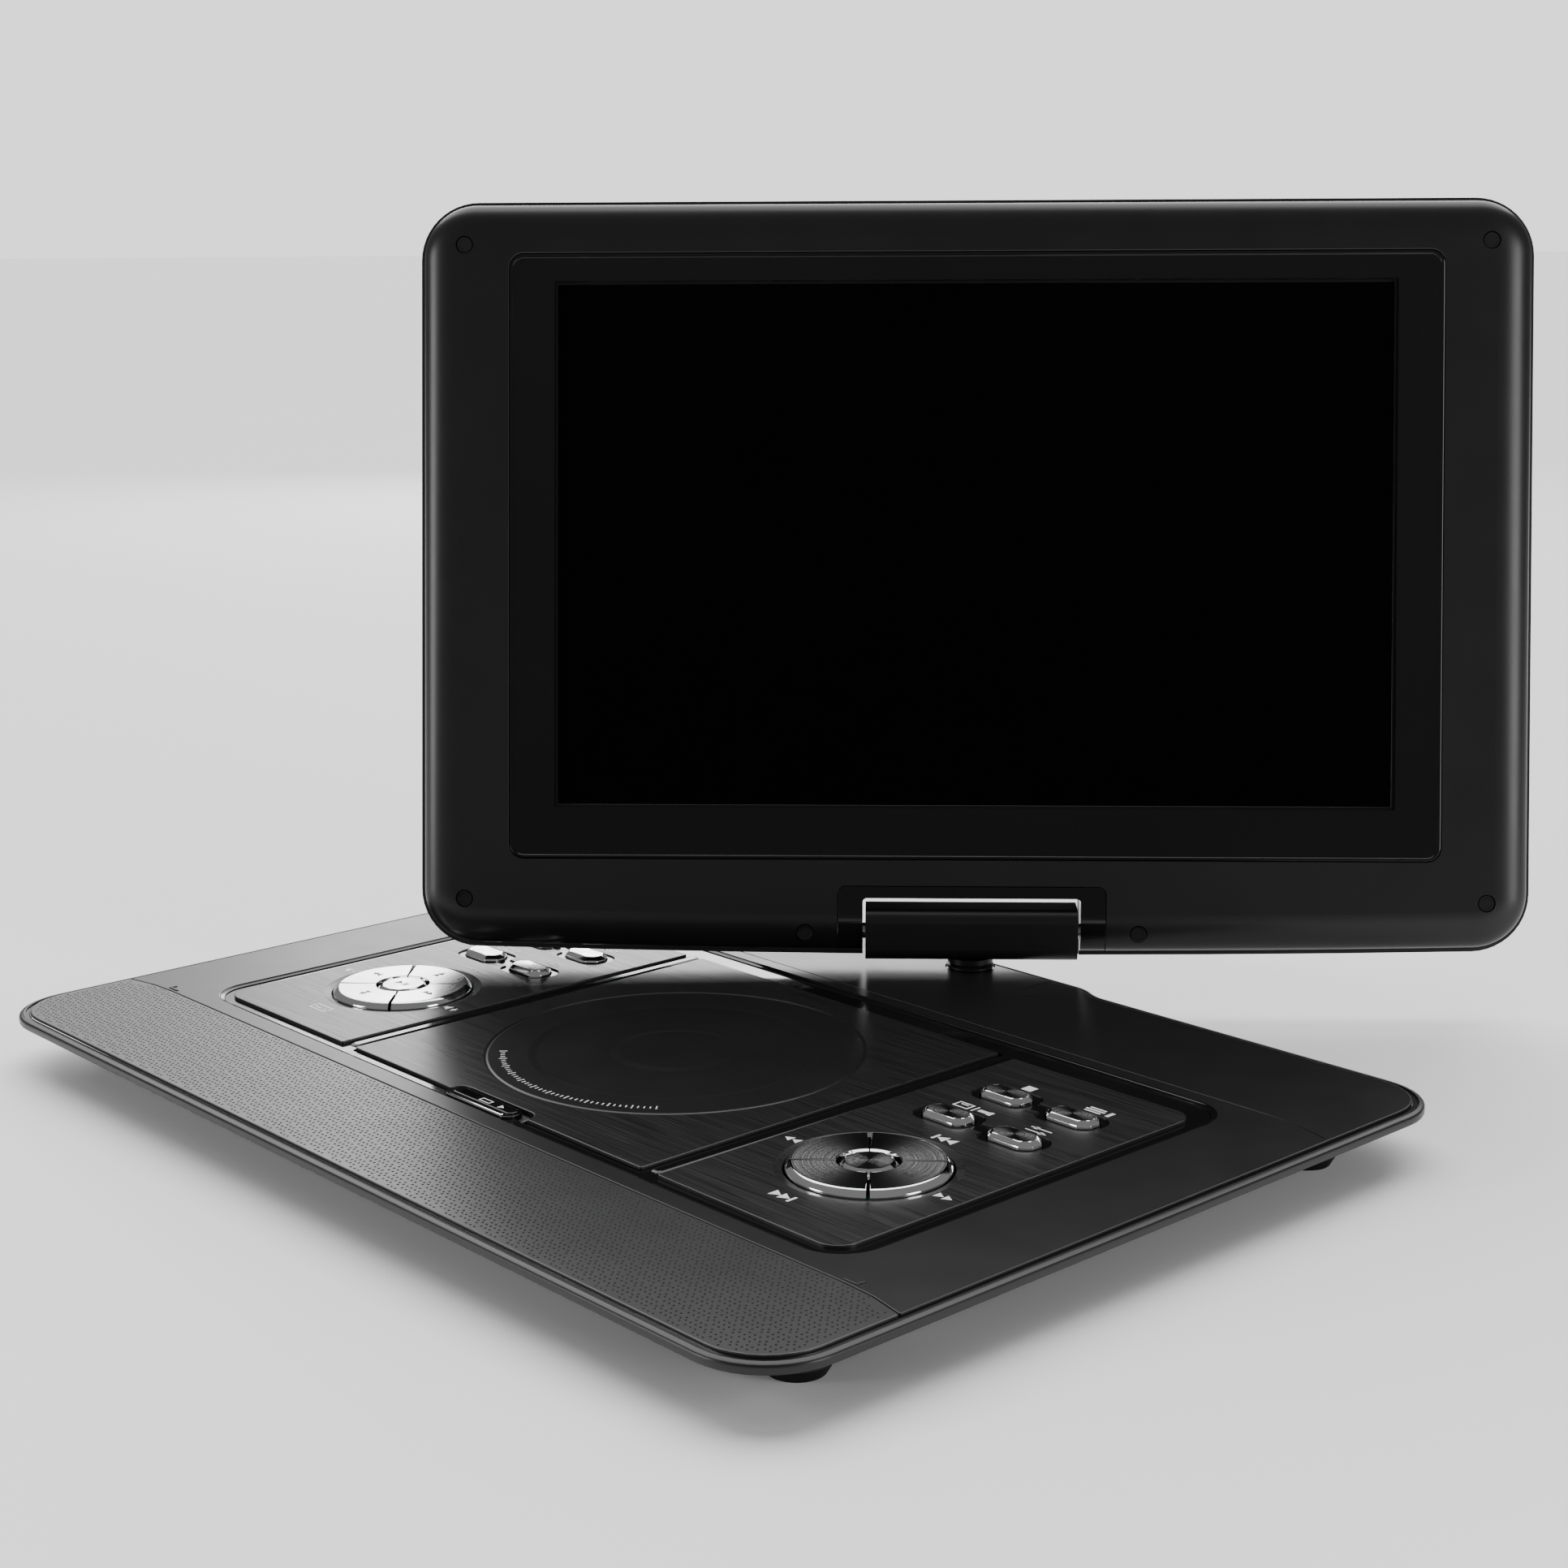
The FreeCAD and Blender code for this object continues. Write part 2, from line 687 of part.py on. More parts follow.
def make_feet():
    """Four tapered rubber feet under the bosses of the bottom cover."""
    feet = []
    for side_x in (-1, 1):
        for side_y in (-1, 1):
            foot = doc.addObject("Part::Cone", "foot")
            foot.setExpression("Radius1", d.foot_radius.text)
            foot.setExpression("Radius2", (d.foot_radius + 2).text)
            foot.setExpression("Height", d.foot_rubber.text)
            foot.setExpression("Placement.Base.x", (side_x * d.foot_spread_x).text)
            foot.setExpression("Placement.Base.y", (side_y * d.foot_spread_y).text)
            feet.append(foot)
    group("rubber_feet", feet)


def make_base_screws():
    """Six countersunk screws in the underside of the bottom cover."""
    screws = []
    for x in (-d.screw_x, 0, d.screw_x):
        for y in (-d.screw_y, d.screw_y):
            head = rod("screw_head", 2.6, 0.8, x, y, d.cover_low + 0.3)
            screws.append(head)
    group("base_screws", screws)


def make_speaker_grille():
    """Thin perforated strip along the front edge of the deck."""
    body = new_body("speaker_grille", z=d.deck_top - d.strip_thick)
    strip_depth = d.strip_back - d.strip_front - 0.4
    strip_mid = (d.strip_back + d.strip_front) / 2
    half = d.strip_half - 0.2
    sketch = new_sketch(body)
    add_rounded_rectangle(sketch, half * 2, strip_depth, d.strip_corner, 0, strip_mid)
    pad(body, sketch, d.strip_thick)
    add_box(body, 0, d.strip_thick, half * 2, strip_depth / 2, 0, strip_mid + strip_depth / 4)


def make_control_panel(name, side):
    """Plate with the wells of the direction pad and of the two pairs of pill keys."""
    body = new_body(f"control_panel_{name}", y=d.panel_y, z=d.deck_top - d.frame_sink)
    mid = (d.panel_inner + d.panel_outer) / 2 * side
    width = d.panel_outer - d.panel_inner
    add_box(body, 0, d.panel_thick, width, d.panel_depth, mid, 0)
    outer = d.panel_outer * side
    reach = d.panel_depth / 2
    round_uprights(body, [(outer, -reach), (outer, reach)], d.panel_corner)
    cut_circle(
        body, d.panel_thick, d.panel_thick, d.pad_hole, side * d.pad_x, d.pad_y - d.panel_y
    )
    column = (d.pill_near + d.pill_far) / 2 * side
    for row in (d.pill_front, d.pill_back):
        for x in (d.pill_near, d.pill_far):
            cut_round_corners(
                body,
                d.panel_thick,
                d.panel_thick,
                d.pill_length + 3,
                d.pill_width + 3,
                6,
                side * x,
                row - d.panel_y,
            )
        cut_rectangle(
            body, d.panel_thick, d.panel_thick, 12, 5.5, column, row - d.panel_y
        )


# ---------------------------------------------------------------- keys


def make_pad_key(name, side, position, turn):
    """A quarter of the direction pad ring, with a bevelled rim and a retaining flange."""
    body = new_body(f"pad_key_{name}_{position}", side * d.pad_x, d.pad_y, d.key_low)
    height = d.key_top - d.key_low
    revolve(
        body,
        [
            (d.pad_eye, 0),
            (d.pad_rim + d.key_ledge, 0),
            (d.pad_rim + d.key_ledge, d.key_flange),
            (d.pad_rim, d.key_flange),
            (d.pad_rim, height - 1.8),
            (d.pad_face, height),
            (d.pad_eye, height),
        ],
        90 - d.pad_slot,
    )
    start = turn - 45 + float(sheet.get("pad_slot")) / 2
    body.Placement.Rotation = FreeCAD.Rotation(Vector(0, 0, 1), start)


def make_centre_key(name, side):
    """Round faceted key in the eye of the direction pad."""
    body = new_body(f"centre_key_{name}", side * d.pad_x, d.pad_y, d.key_low)
    height = d.key_top - d.key_low
    facets = 12
    sketch = new_sketch(body)
    corners = []
    for n in range(facets):
        angle = 2 * math.pi * (n + 0.5) / facets
        corners.append((d.centre_key * math.cos(angle), d.centre_key * math.sin(angle)))
    add_polygon(sketch, corners)
    pad(body, sketch, height)
    dress(body, "PartDesign::Chamfer", rim_edges(body, height, 20), 1.4)


def make_pill_key(name, side, column, row, x, y):
    """Long octagonal key with a bevelled top and a retaining flange."""
    body = new_body(f"pill_key_{name}_{column}_{row}", side * x, y, d.key_low)
    height = d.key_top - d.key_low

    def octagon(grow):
        half_x = d.pill_length / 2 + grow
        half_y = d.pill_width / 2 + grow
        cut_x = half_x - d.pill_cut
        cut_y = half_y - d.pill_cut
        sketch = new_sketch(body)
        add_polygon(
            sketch,
            [
                (half_x, -cut_y),
                (half_x, cut_y),
                (cut_x, half_y),
                (-cut_x, half_y),
                (-half_x, cut_y),
                (-half_x, -cut_y),
                (-cut_x, -half_y),
                (cut_x, -half_y),
            ],
        )
        return sketch

    pad(body, octagon(as_size(0)), height)
    dress(body, "PartDesign::Chamfer", rim_edges(body, height, 20), d.pill_bevel)
    pad(body, octagon(d.key_ledge), d.key_flange)


def make_keys():
    for name, side in sides:
        for position, turn in (("right", 0), ("rear", 90), ("left", 180), ("front", 270)):
            make_pad_key(name, side, position, turn)
        make_centre_key(name, side)
        for column, x in (("inner", d.pill_near), ("outer", d.pill_far)):
            for row, y in (("front", d.pill_front), ("rear", d.pill_back)):
                make_pill_key(name, side, column, row, x, y)


# ---------------------------------------------------------------- electronics


def make_key_boards():
    """Two circuit boards with a dome switch under every key."""
    boards = []
    low = as_size(12.3)
    for _, side in sides:
        parts = [box("board", 62, 120, 1.2, side * (d.panel_inner + 37), -2.0, low)]
        spots = [(side * x, y) for x, y in pill_spots] + [(side * d.pad_x, d.pad_y)]
        for dx, dy in ((16, 0), (-16, 0), (0, 16), (0, -16)):
            spots.append((side * d.pad_x + dx, d.pad_y + dy))
        for x, y in spots:
            parts.append(box("dome", 6, 6, 1.1, x, y, low + 1.2))
        boards.append(fuse("key_board", parts))
    group("key_boards", boards)


def make_boards_and_battery():
    """Main board under the right keys and the flat battery pack under the left ones."""
    floor = d.cover_low + d.cover_wall
    board = box("board", 46, 128, 1.6, 118.0, -4.0, floor + 1.4)
    parts = [board]
    for x in (99, 137):
        for y in (-64, 56):
            parts.append(rod("post", 2, 1.4, x, y, floor))
    for x, y, width, depth, height in (
        (112, 10, 16, 16, 1.8),
        (130, 14, 10, 14, 1.2),
        (124, -36, 12, 12, 3.0),
    ):
        parts.append(box("chip", width, depth, height, x, y, floor + 3.0))
    keep(fuse("main_board", parts), "main_board")
    pack = box("pack", 52, 128, 4.8, -114.0, -4.0, floor)
    tape = box("protection_board", 6, 40, 2.4, -84.9, -4.0, floor)
    keep(fuse("battery_pack", [pack, tape]), "battery_pack")


def make_speaker(name, side):
    """Flat oblong speaker that fires up through the strip."""
    body = new_body(f"speaker_{name}", side * d.speaker_x, d.speaker_y, 0)
    top = d.deck_top - d.deck_skin
    low = top - d.speaker_height
    sketch = new_sketch(body, low)
    add_rounded_rectangle(sketch, d.speaker_length, d.speaker_width, 4)
    pad(body, sketch, d.speaker_height)
    cut_round_corners(body, top, 0.8, d.speaker_length - 6, d.speaker_width - 6, 3)


# ---------------------------------------------------------------- disc drive


def make_loader_tray():
    """Moulded deck of the disc drive with the disc well, lid bearings and rod lugs."""
    body = new_body("loader_tray", y=d.disc_y)
    top = d.deck_top - d.deck_skin
    add_box(body, d.tray_low, top - d.tray_low, d.tray_width, d.tray_depth)
    bay_width = d.lid_width + 3
    cut_rectangle(body, top, top - d.tray_step, bay_width, d.lid_depth + 5)
    cut_circle(body, d.tray_step, d.tray_step - d.tray_floor, d.well_radius)
    cut_circle(body, d.tray_floor, 3, d.platter_radius + 1.5)
    cut_rectangle(body, d.tray_floor, 3, 50, 26, 36, 0)
    axis_y = d.lid_axis_y - d.disc_y
    pocket_width = bay_width / 2 - 64
    for _, side in sides:
        pocket_x = side * (pocket_width / 2 + 64)
        cut_rectangle(body, d.tray_step, 1.8, pocket_width, 7, pocket_x, axis_y)
    bearing_end = bay_width / 2 + 3.2
    bearing_bore = d.lid_pin + d.running_gap
    cut_across(body, bearing_end, 5, bearing_bore, axis_y, d.lid_axis_z)
    cut_across(body, -bearing_end + 5, 5, bearing_bore, axis_y, d.lid_axis_z)
    lug_depth = as_size(45)
    lug_y = (d.screw_offset - d.rod_spread) / 2
    for x in (d.rod_start - 1.5, d.rod_end + 1.5):
        add_box(body, 6.4, d.tray_low - 6.4, 3, lug_depth, x, lug_y)


def make_spindle():
    body = new_body("spindle_motor", y=d.disc_y)
    revolve(
        body,
        [(0, 6.2), (d.motor_radius, 6.2), (d.motor_radius, 10.8), (d.motor_radius - 1, 11.6), (0, 11.6)],
    )
    body = new_body("turntable", y=d.disc_y)
    revolve(
        body,
        [
            (0, 11.7),
            (4, 11.7),
            (4, d.disc_seat - 0.8),
            (d.platter_radius, d.disc_seat - 0.8),
            (d.platter_radius, d.disc_seat),
            (d.hub_radius, d.disc_seat),
            (d.hub_radius, d.hub_top - 1),
            (d.hub_radius - 1.2, d.hub_top),
            (0, d.hub_top),
        ],
    )


def make_sled():
    """Laser sled on two rods, driven by a lead screw."""
    length = d.rod_end - d.rod_start
    rods = []
    for offset in (-d.rod_spread, d.rod_spread):
        rods.append(
            rod("guide_rod", d.rod_radius, length, d.rod_start, d.disc_y + offset, d.rod_height, "X")
        )
    group("guide_rods", rods)
    screw_y = d.disc_y + d.screw_offset
    screw = rod(
        "lead_screw", d.rod_radius, length - 0.4, d.rod_start + 0.2, screw_y, d.rod_height, "X"
    )
    keep(screw, "lead_screw")

    body = new_body("laser_sled", d.sled_start, d.disc_y)
    low = as_size(6.7)
    width = d.rod_spread + d.screw_offset + 6
    middle = (d.screw_offset - d.rod_spread) / 2
    add_box(body, low, 3.9, d.sled_length, width, d.sled_length / 2, middle)
    add_box(body, low + 3.9, 1.6, 12, 14, d.lens_inset, 0)
    for offset in (-d.rod_spread, d.rod_spread, d.screw_offset):
        bore = d.rod_radius + d.running_gap
        cut_across(body, d.sled_length + 1, d.sled_length + 2, bore, offset, d.rod_height)

    lens_x = d.sled_start + d.lens_inset
    keep(rod("laser_lens", 2.2, 0.4, lens_x, d.disc_y, 12.2), "laser_lens")
    keep(box("sled_motor", 14, 12, 4.4, 83, screw_y, 6.3), "sled_motor")


# ---------------------------------------------------------------- lid and latch


def make_lid():
    """Flat disc lid with its carrier frame, whose pins turn in the loader tray."""
    body = new_body("disc_lid", y=d.lid_y, z=d.deck_top - d.lid_thick)
    add_box(body, 0, d.lid_thick, d.lid_width, d.lid_depth)
    front = -d.lid_depth / 2
    reach = d.latch_y - d.lid_y + d.latch_width / 2 + 0.7 - front
    cut_rectangle(
        body, d.lid_thick, d.lid_thick, d.latch_notch, reach * 2, 0, front
    )
    half = d.latch_notch / 2
    round_uprights(body, [(-half, front + reach), (half, front + reach)], 4)

    body = new_body("lid_carrier", y=d.disc_y)
    top = d.deck_top - d.lid_thick
    low = d.tray_step + 0.3
    add_box(body, low, top - low, 142, 144.5, 0, -3.25)
    cut_circle(body, top, top - low, d.well_radius + 1)
    axis_y = d.lid_axis_y - d.disc_y
    for _, side in sides:
        sketch = new_sketch(body, side * 69 - 3, "YZ_Plane")
        add_circle(sketch, d.lid_pin + 0.15, axis_y, d.lid_axis_z)
        pad(body, sketch, 6)
    pin_end = d.lid_width / 2 + 4
    sketch = new_sketch(body, 72, "YZ_Plane")
    add_circle(sketch, d.lid_pin, axis_y, d.lid_axis_z)
    pad(body, sketch, pin_end - 72)
    sketch = new_sketch(body, -pin_end, "YZ_Plane")
    add_circle(sketch, d.lid_pin, axis_y, d.lid_axis_z)
    pad(body, sketch, pin_end - 72)


def make_latch():
    """Sliding lid catch at the front edge of the lid, and the leaf spring that meets its end."""
    body = new_body("lid_latch", d.latch_x, d.latch_y)
    low = d.deck_top - d.lid_thick + 0.1
    sketch = new_sketch(body, low)
    add_rounded_rectangle(sketch, d.latch_length, d.latch_width, 3.6)
    pad(body, sketch, d.deck_top + 0.2 - low)
    spring = box("latch_spring", 0.8, 3.0, 1.2, 19.0, d.latch_y, low - 0.1)
    keep(spring, "latch_spring")


# ---------------------------------------------------------------- sockets


def make_jack(y):
    """3.5 mm jack: body block and nose with one bore."""
    z = d.port_axis_z
    inner = d.port_wall + d.port_skin
    block = box("jack_body", 12, 7, 7.0, inner + 6, y, z - 3.5)
    nose = rod("jack_nose", d.jack_nose, d.port_skin + 1, d.port_wall, y, z, "X")
    bore = rod("jack_bore", d.jack_bore, d.jack_depth, d.port_wall, y, z, "X")
    return cut("jack", fuse("jack_solid", [block, nose]), bore)


def make_sockets():
    z = d.port_axis_z
    inner = d.port_wall + d.port_skin
    group("audio_jacks", [make_jack(d.phones_y), make_jack(d.av_y)])

    block = box("dc_block", 12, 9, 7.6, inner + 6, d.dc_y, z - 3.8)
    nose = rod("dc_nose", 4.1, d.port_skin + 1, d.port_wall, d.dc_y, z, "X")
    hole = rod("dc_hole", d.dc_bore, 9.5, d.port_wall, d.dc_y, z, "X")
    centre_pin = rod("dc_pin", 0.6, 9.0, d.port_wall + 1, d.dc_y, z, "X")
    drilled = cut("dc_drilled", fuse("dc_solid", [block, nose]), hole)
    keep(fuse("dc_jack", [drilled, centre_pin]), "dc_jack")

    shell = box("usb_shell", 14, 13.1, 5.7, d.port_wall + 7, d.usb_y, z - 2.85)
    mouth = box("usb_mouth", 13, 12.3, 4.9, d.port_wall + 6.5, d.usb_y, z - 2.45)
    tongue = box("usb_tongue", 11, 11.1, 1.8, d.port_wall + 7.9, d.usb_y, z + 0.3)
    keep(fuse("usb_port", [cut("usb_hollow", shell, mouth), tongue]), "usb_port")

    case = box("card_case", 26, 26.0, 3.4, d.port_wall + 13, d.card_y, z - 1.7)
    mouth = box("card_mouth", 24, 24.4, 2.6, d.port_wall + 12, d.card_y, z - 1.3)
    keep(cut("card_slot", case, mouth), "card_slot")

    knob_y = d.switch_y - 2
    knob = box("switch_knob", 4.2, 5.0, 3.0, d.port_wall + 0.9, knob_y, z - 1.5)
    plate = box("switch_plate", 1.0, 13.0, 6.0, d.port_wall + d.port_skin + 0.7, knob_y, z - 3)
    keep(fuse("power_switch", [knob, plate]), "power_switch")


# ---------------------------------------------------------------- neck and hinge block


def head_placement():
    """Frame of the hinge block: X along the screen, Y away from the viewer, origin on both axes."""
    turn = FreeCAD.Rotation(Vector(0, 0, 1), d.rest_swivel.number)
    return FreeCAD.Placement(Vector(0, d.neck_y.number, d.hinge_z.number), turn)


def screen_placement():
    """Frame of the screen: X along it, Y up it, Z out of the picture, origin on the tilt axis."""
    lean = FreeCAD.Rotation(Vector(1, 0, 0), 90 - d.rest_tilt.number)
    return head_placement().multiply(FreeCAD.Placement(Vector(), lean))


def head_body(label):
    body = keep(doc.addObject("PartDesign::Body", label), label)
    body.Placement = head_placement()
    return body


def screen_body(label):
    body = keep(doc.addObject("PartDesign::Body", label), label)
    body.Placement = screen_placement()
    return body


def make_hinge_block():
    """Bar between the two halves of the screen's foot, bored for the tilt pins and the shaft."""
    body = head_body("hinge_block")
    reach = d.block_reach
    add_box(body, -reach, reach * 2, d.block_half * 2, reach * 2)

    def is_long(edge):
        return abs(edge.BoundBox.XLength - 2 * d.block_half.number) < 0.01

    names = edges_where(body.Tip.Shape, is_long)
    dress(body, "PartDesign::Fillet", names, d.block_round)
    cut_across(body, d.block_half + 1, d.block_half * 2 + 2, d.pin_radius, 0, 0)
    cut_circle(body, -4, reach, d.shaft_radius)


def make_neck():
    """Hollow swivel shaft with its washer, the ringed collar and the bush in the base."""
    body = head_body("swivel_shaft")
    drop = d.hinge_z - d.flange_low + 3
    collar_low = d.deck_top - 0.6 - d.hinge_z
    revolve(
        body,
        [
            (3.2, -drop),
            (6.6, -drop),
            (6.6, -drop + 1.4),
            (d.shaft_radius, -drop + 1.4),
            (d.shaft_radius, -4),
            (3.2, -4),
        ],
    )
    body = head_body("neck_collar")
    inner = d.shaft_radius + 0.05
    outer = d.collar_radius
    low = collar_low
    revolve(
        body,
        [
            (inner, low),
            (outer - 1.2, low),
            (outer + 0.3, low + 0.9),
            (outer + 0.3, low + 1.6),
            (outer - 0.8, low + 2.2),
            (outer, low + 2.8),
            (outer, -d.block_reach),
            (inner, -d.block_reach),
        ],
    )
    body = new_body("swivel_bush", y=d.neck_y, z=d.deck_top - d.deck_skin - 1.5)
    add_box(body, 0, 1.5, 46, 24, 0, -6)
    cut_circle(body, 1.5, 1.5, d.shaft_radius + d.running_gap)


def make_tilt_pins():
    """Two friction hinge pins fixed in the ends of the hinge block."""
    pins = []
    length = d.pin_end - 28
    for start in (as_size(28), -d.pin_end):
        pins.append(rod("tilt_pin", d.pin_radius, length, start, 0, 0, "X"))
    place_group("tilt_pins", pins, head_placement())


def place_group(name, things, placement):
    """Moves a compound of pieces built at the origin into its own frame."""
    thing = group(name, things)
    thing.Placement = placement
    return thing


# ---------------------------------------------------------------- screen


def casing_outline(body, level, inset):
    """Outline of the casing: straight top and sides, bottom edge in one shallow arc."""
    sketch = new_sketch(body, level)
    inset = as_size(inset)
    half = d.screen_width / 2 - inset
    top = d.screen_top - inset
    low = d.screen_low + inset
    end = low + d.screen_end_rise
    corners = [
        Vector(half.number, end.number, 0),
        Vector(half.number, top.number, 0),
        Vector(-half.number, top.number, 0),
        Vector(-half.number, end.number, 0),
    ]
    edges = []
    for start, stop in zip(corners, corners[1:]):
        edges.append(sketch.addGeometry(Part.LineSegment(start, stop), False))
    sweep = Part.Arc(corners[3], Vector(0, low.number, 0), corners[0])
    edges.append(sketch.addGeometry(sweep, False))
    right, above, left, under = edges
    for edge, following in ((right, above), (above, left)):
        sketch.addConstraint(Sketcher.Constraint("Coincident", edge, 2, following, 1))
    sketch.addConstraint(Sketcher.Constraint("Coincident", left, 2, under, 1))
    sketch.addConstraint(Sketcher.Constraint("Coincident", under, 2, right, 1))
    pin_point(sketch, right, 1, half, end)
    pin_point(sketch, above, 1, half, top)
    pin_point(sketch, left, 1, -half, top)
    pin_point(sketch, under, 1, -half, end)
    rise = d.screen_end_rise
    bind(sketch, "Radius", under, (half * half + rise * rise) / (rise * 2))
    return sketch


def round_casing(body, inset, low_radius):
    half = d.screen_width / 2 - inset
    top = d.screen_top - inset
    end = d.screen_low + inset + d.screen_end_rise
    spots = [(half, top), (-half, top), (half, end), (-half, end)]
    round_uprights(body, spots, low_radius)


def hollow_shell(body, level, depth, inset, cheek, cheek_top):
    """Hollows a screen shell: one bay above the hinge notch and one on each side of it."""
    inset = as_size(inset)
    side_reach = d.screen_width / 2 - inset
    top = d.screen_top - inset
    low = d.screen_low + inset + 1.4
    width = side_reach * 2
    radius = d.screen_corner - inset
    cut_round_corners(
        body, level, depth, width, top - cheek_top, radius, 0, (top + cheek_top) / 2
    )
    bay_high = low + 34
    bay_width = side_reach - cheek
    bay_mid = (side_reach + cheek) / 2
    knuckle_low = -d.knuckle_radius - 0.8
    for _, side in sides:
        cut_rectangle(
            body,
            level,
            depth,
            24,
            bay_high - knuckle_low,
            side * (cheek + 12),
            (bay_high + knuckle_low) / 2,
        )
        cut_round_corners(
            body,
            level,
            depth,
            bay_width,
            bay_high - low,
            radius - 3,
            side * bay_mid,
            (bay_high + low) / 2,
        )


def make_back_cover():
    """Rear shell, rounded round its back edge and open at the hinge notch."""
    body = screen_body("screen_back_cover")
    pad(body, casing_outline(body, -d.screen_half, 0), d.screen_half)
    round_casing(body, as_size(0), d.screen_corner)
    names = rim_edges(body, -d.screen_half, 30)
    dress(body, "PartDesign::Fillet", names, d.screen_back_edge)
    hollow_shell(body, 0, d.screen_half - d.shell_skin, 3.5, as_size(41), as_size(14.2))
    low = d.screen_low - 2
    notch_mid = (d.notch_top + low) / 2
    cut_rectangle(body, 0, d.screen_half, d.notch_half * 2, d.notch_top - low, 0, notch_mid)
    for start in (43.0, -38.0):
        cut_across(body, start, 5, d.pin_radius + 0.3, 0, 0)


def make_bezel():
    """Front shell with the window for the surround, the hinge cut-out and the plug seats."""
    body = screen_body("screen_bezel")
    pad(body, casing_outline(body, 0, d.bezel_inset), d.screen_half)
    round_casing(body, d.bezel_inset, d.screen_corner - d.bezel_inset)
    names = rim_edges(body, d.screen_half, 30)
    dress(body, "PartDesign::Fillet", names, d.screen_front_edge)
    wall_level = d.screen_half - d.shell_skin
    hollow_shell(body, wall_level, wall_level, 4.5, d.cheek_half + 1.6, d.cheek_top + 1.6)
    surround_mid = d.lcd_y + (d.surround_up - d.surround_down) / 2
    cut_round_corners(
        body,
        d.screen_half,
        d.screen_half,
        d.surround_half * 2 + 0.4,
        d.surround_up + d.surround_down + 0.4,
        d.surround_corner,
        0,
        surround_mid,
    )
    low = d.screen_low - 2
    cheek_high = d.cheek_top + 0.1
    cheek_mid = (cheek_high + low) / 2
    cut_rectangle(
        body, d.screen_half, d.screen_half, d.cheek_half * 2 + 0.2, cheek_high - low, 0, cheek_mid
    )
    for x, y in plug_spots():
        cut_circle(body, d.screen_half, d.plug_deep, d.plug_radius + 0.05, x, y)


def plug_spots():
    spots = []
    for side in (-1, 1):
        spots.append((side * d.plug_side_x, d.plug_side_up))
        spots.append((side * d.plug_side_x, d.plug_side_down))
        spots.append((side * d.plug_low_x, d.plug_low_y))
    return spots


def make_surround():
    """Glossy surround of the picture, with the liquid crystal panel behind it."""
    body = screen_body("lcd_surround")
    low = d.screen_half - 3.5
    thick = 2.9
    middle = d.lcd_y + (d.surround_up - d.surround_down) / 2
    sketch = new_sketch(body, low)
    add_rounded_rectangle(
        sketch,
        d.surround_half * 2,
        d.surround_up + d.surround_down,
        d.surround_corner - 0.2,
        0,
        middle,
    )
    pad(body, sketch, thick)
    cut_rectangle(body, low + thick, thick, d.lcd_width, d.lcd_height, 0, d.lcd_y)

    body = screen_body("lcd_panel")
    add_box(body, low - 4, 4, d.lcd_width + 10, d.lcd_height + 9, 0, d.lcd_y)

    body = screen_body("driver_board")
    add_box(body, -4.0, 1.6, 130, 26, 0, 70)


def make_escutcheon():
    """U-shaped glossy trim round the hinge notch, with cheeks that the tilt pins pass through."""
    body = screen_body("hinge_escutcheon")
    skin = d.shell_skin
    low = d.screen_low + 0.3
    height = d.cheek_top - low
    middle = (d.cheek_top + low) / 2
    add_box(body, d.screen_half - skin, skin, d.cheek_half * 2, height, 0, middle)
    notch_mid = (d.notch_top + low - 2) / 2
    cut_rectangle(
        body, d.screen_half, skin, d.notch_half * 2, d.notch_top - low + 2, 0, notch_mid
    )
    cheek_x = d.notch_half + 0.8
    for side in (-1, 1):
        add_box(
            body, 0, d.screen_half - skin, 1.6, height - 4, side * cheek_x, middle + 2
        )
        cut_across(
            body, side * cheek_x + 2, 4, d.pin_radius + 0.3, 0, 0
        )


def make_screen_fittings():
    """Screw plugs and the two metal brackets that turn on the tilt pins."""
    plugs = []
    for x, y in plug_spots():
        plugs.append(rod("plug", d.plug_radius, d.plug_deep, x, y, d.screen_half - d.plug_deep))
    place_group("screen_screw_plugs", plugs, screen_placement())

    brackets = []
    length = d.pin_end - d.knuckle_start
    middle = (d.pin_end + d.knuckle_start) / 2
    for start, side in ((d.knuckle_start, 1), (-d.pin_end, -1)):
        knuckle = rod("knuckle", d.knuckle_radius, length, start, 0, 0, "X")
        arm = box("arm", length, 34, 1.6, side * middle, 18, -d.knuckle_radius)
        bore = rod("bore", d.pin_radius + d.running_gap, length + 2, start - 1, 0, 0, "X")
        brackets.append(cut("bracket", fuse("bracket_solid", [knuckle, arm]), bore))
    place_group("tilt_brackets", brackets, screen_placement())


# ---------------------------------------------------------------- build and write


def check_and_write():
    doc.recompute()
    for thing in doc.Objects:
        if "Invalid" in thing.State or "Error" in thing.State:
            raise RuntimeError(f"{thing.Label} did not compute: {thing.State}")
    os.makedirs("parts", exist_ok=True)
    for thing in nodes:
        shape = thing.Shape
        if shape.isNull() or not shape.isValid() or not shape.Solids:
            raise RuntimeError(f"{thing.Label} is not a valid solid")
    for thing in nodes:
        thing.Shape.exportStep(os.path.join("parts", f"{thing.Label}.step"))
    print(f"{len(nodes)} nodes written")


make_top_shell()
make_bottom_cover()
make_feet()
make_base_screws()
make_speaker_grille()
for side_name, side_sign in sides:
    make_control_panel(side_name, side_sign)
    make_speaker(side_name, side_sign)
make_keys()
make_key_boards()
make_boards_and_battery()
make_loader_tray()
make_spindle()
make_sled()
make_lid()
make_latch()
make_sockets()
make_hinge_block()
make_neck()
make_tilt_pins()
make_back_cover()
make_bezel()
make_surround()
make_escutcheon()
make_screen_fittings()
check_and_write()
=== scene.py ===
import json
import math

import bmesh
import bpy
from mathutils import Matrix, Vector
from mathutils.geometry import delaunay_2d_cdt


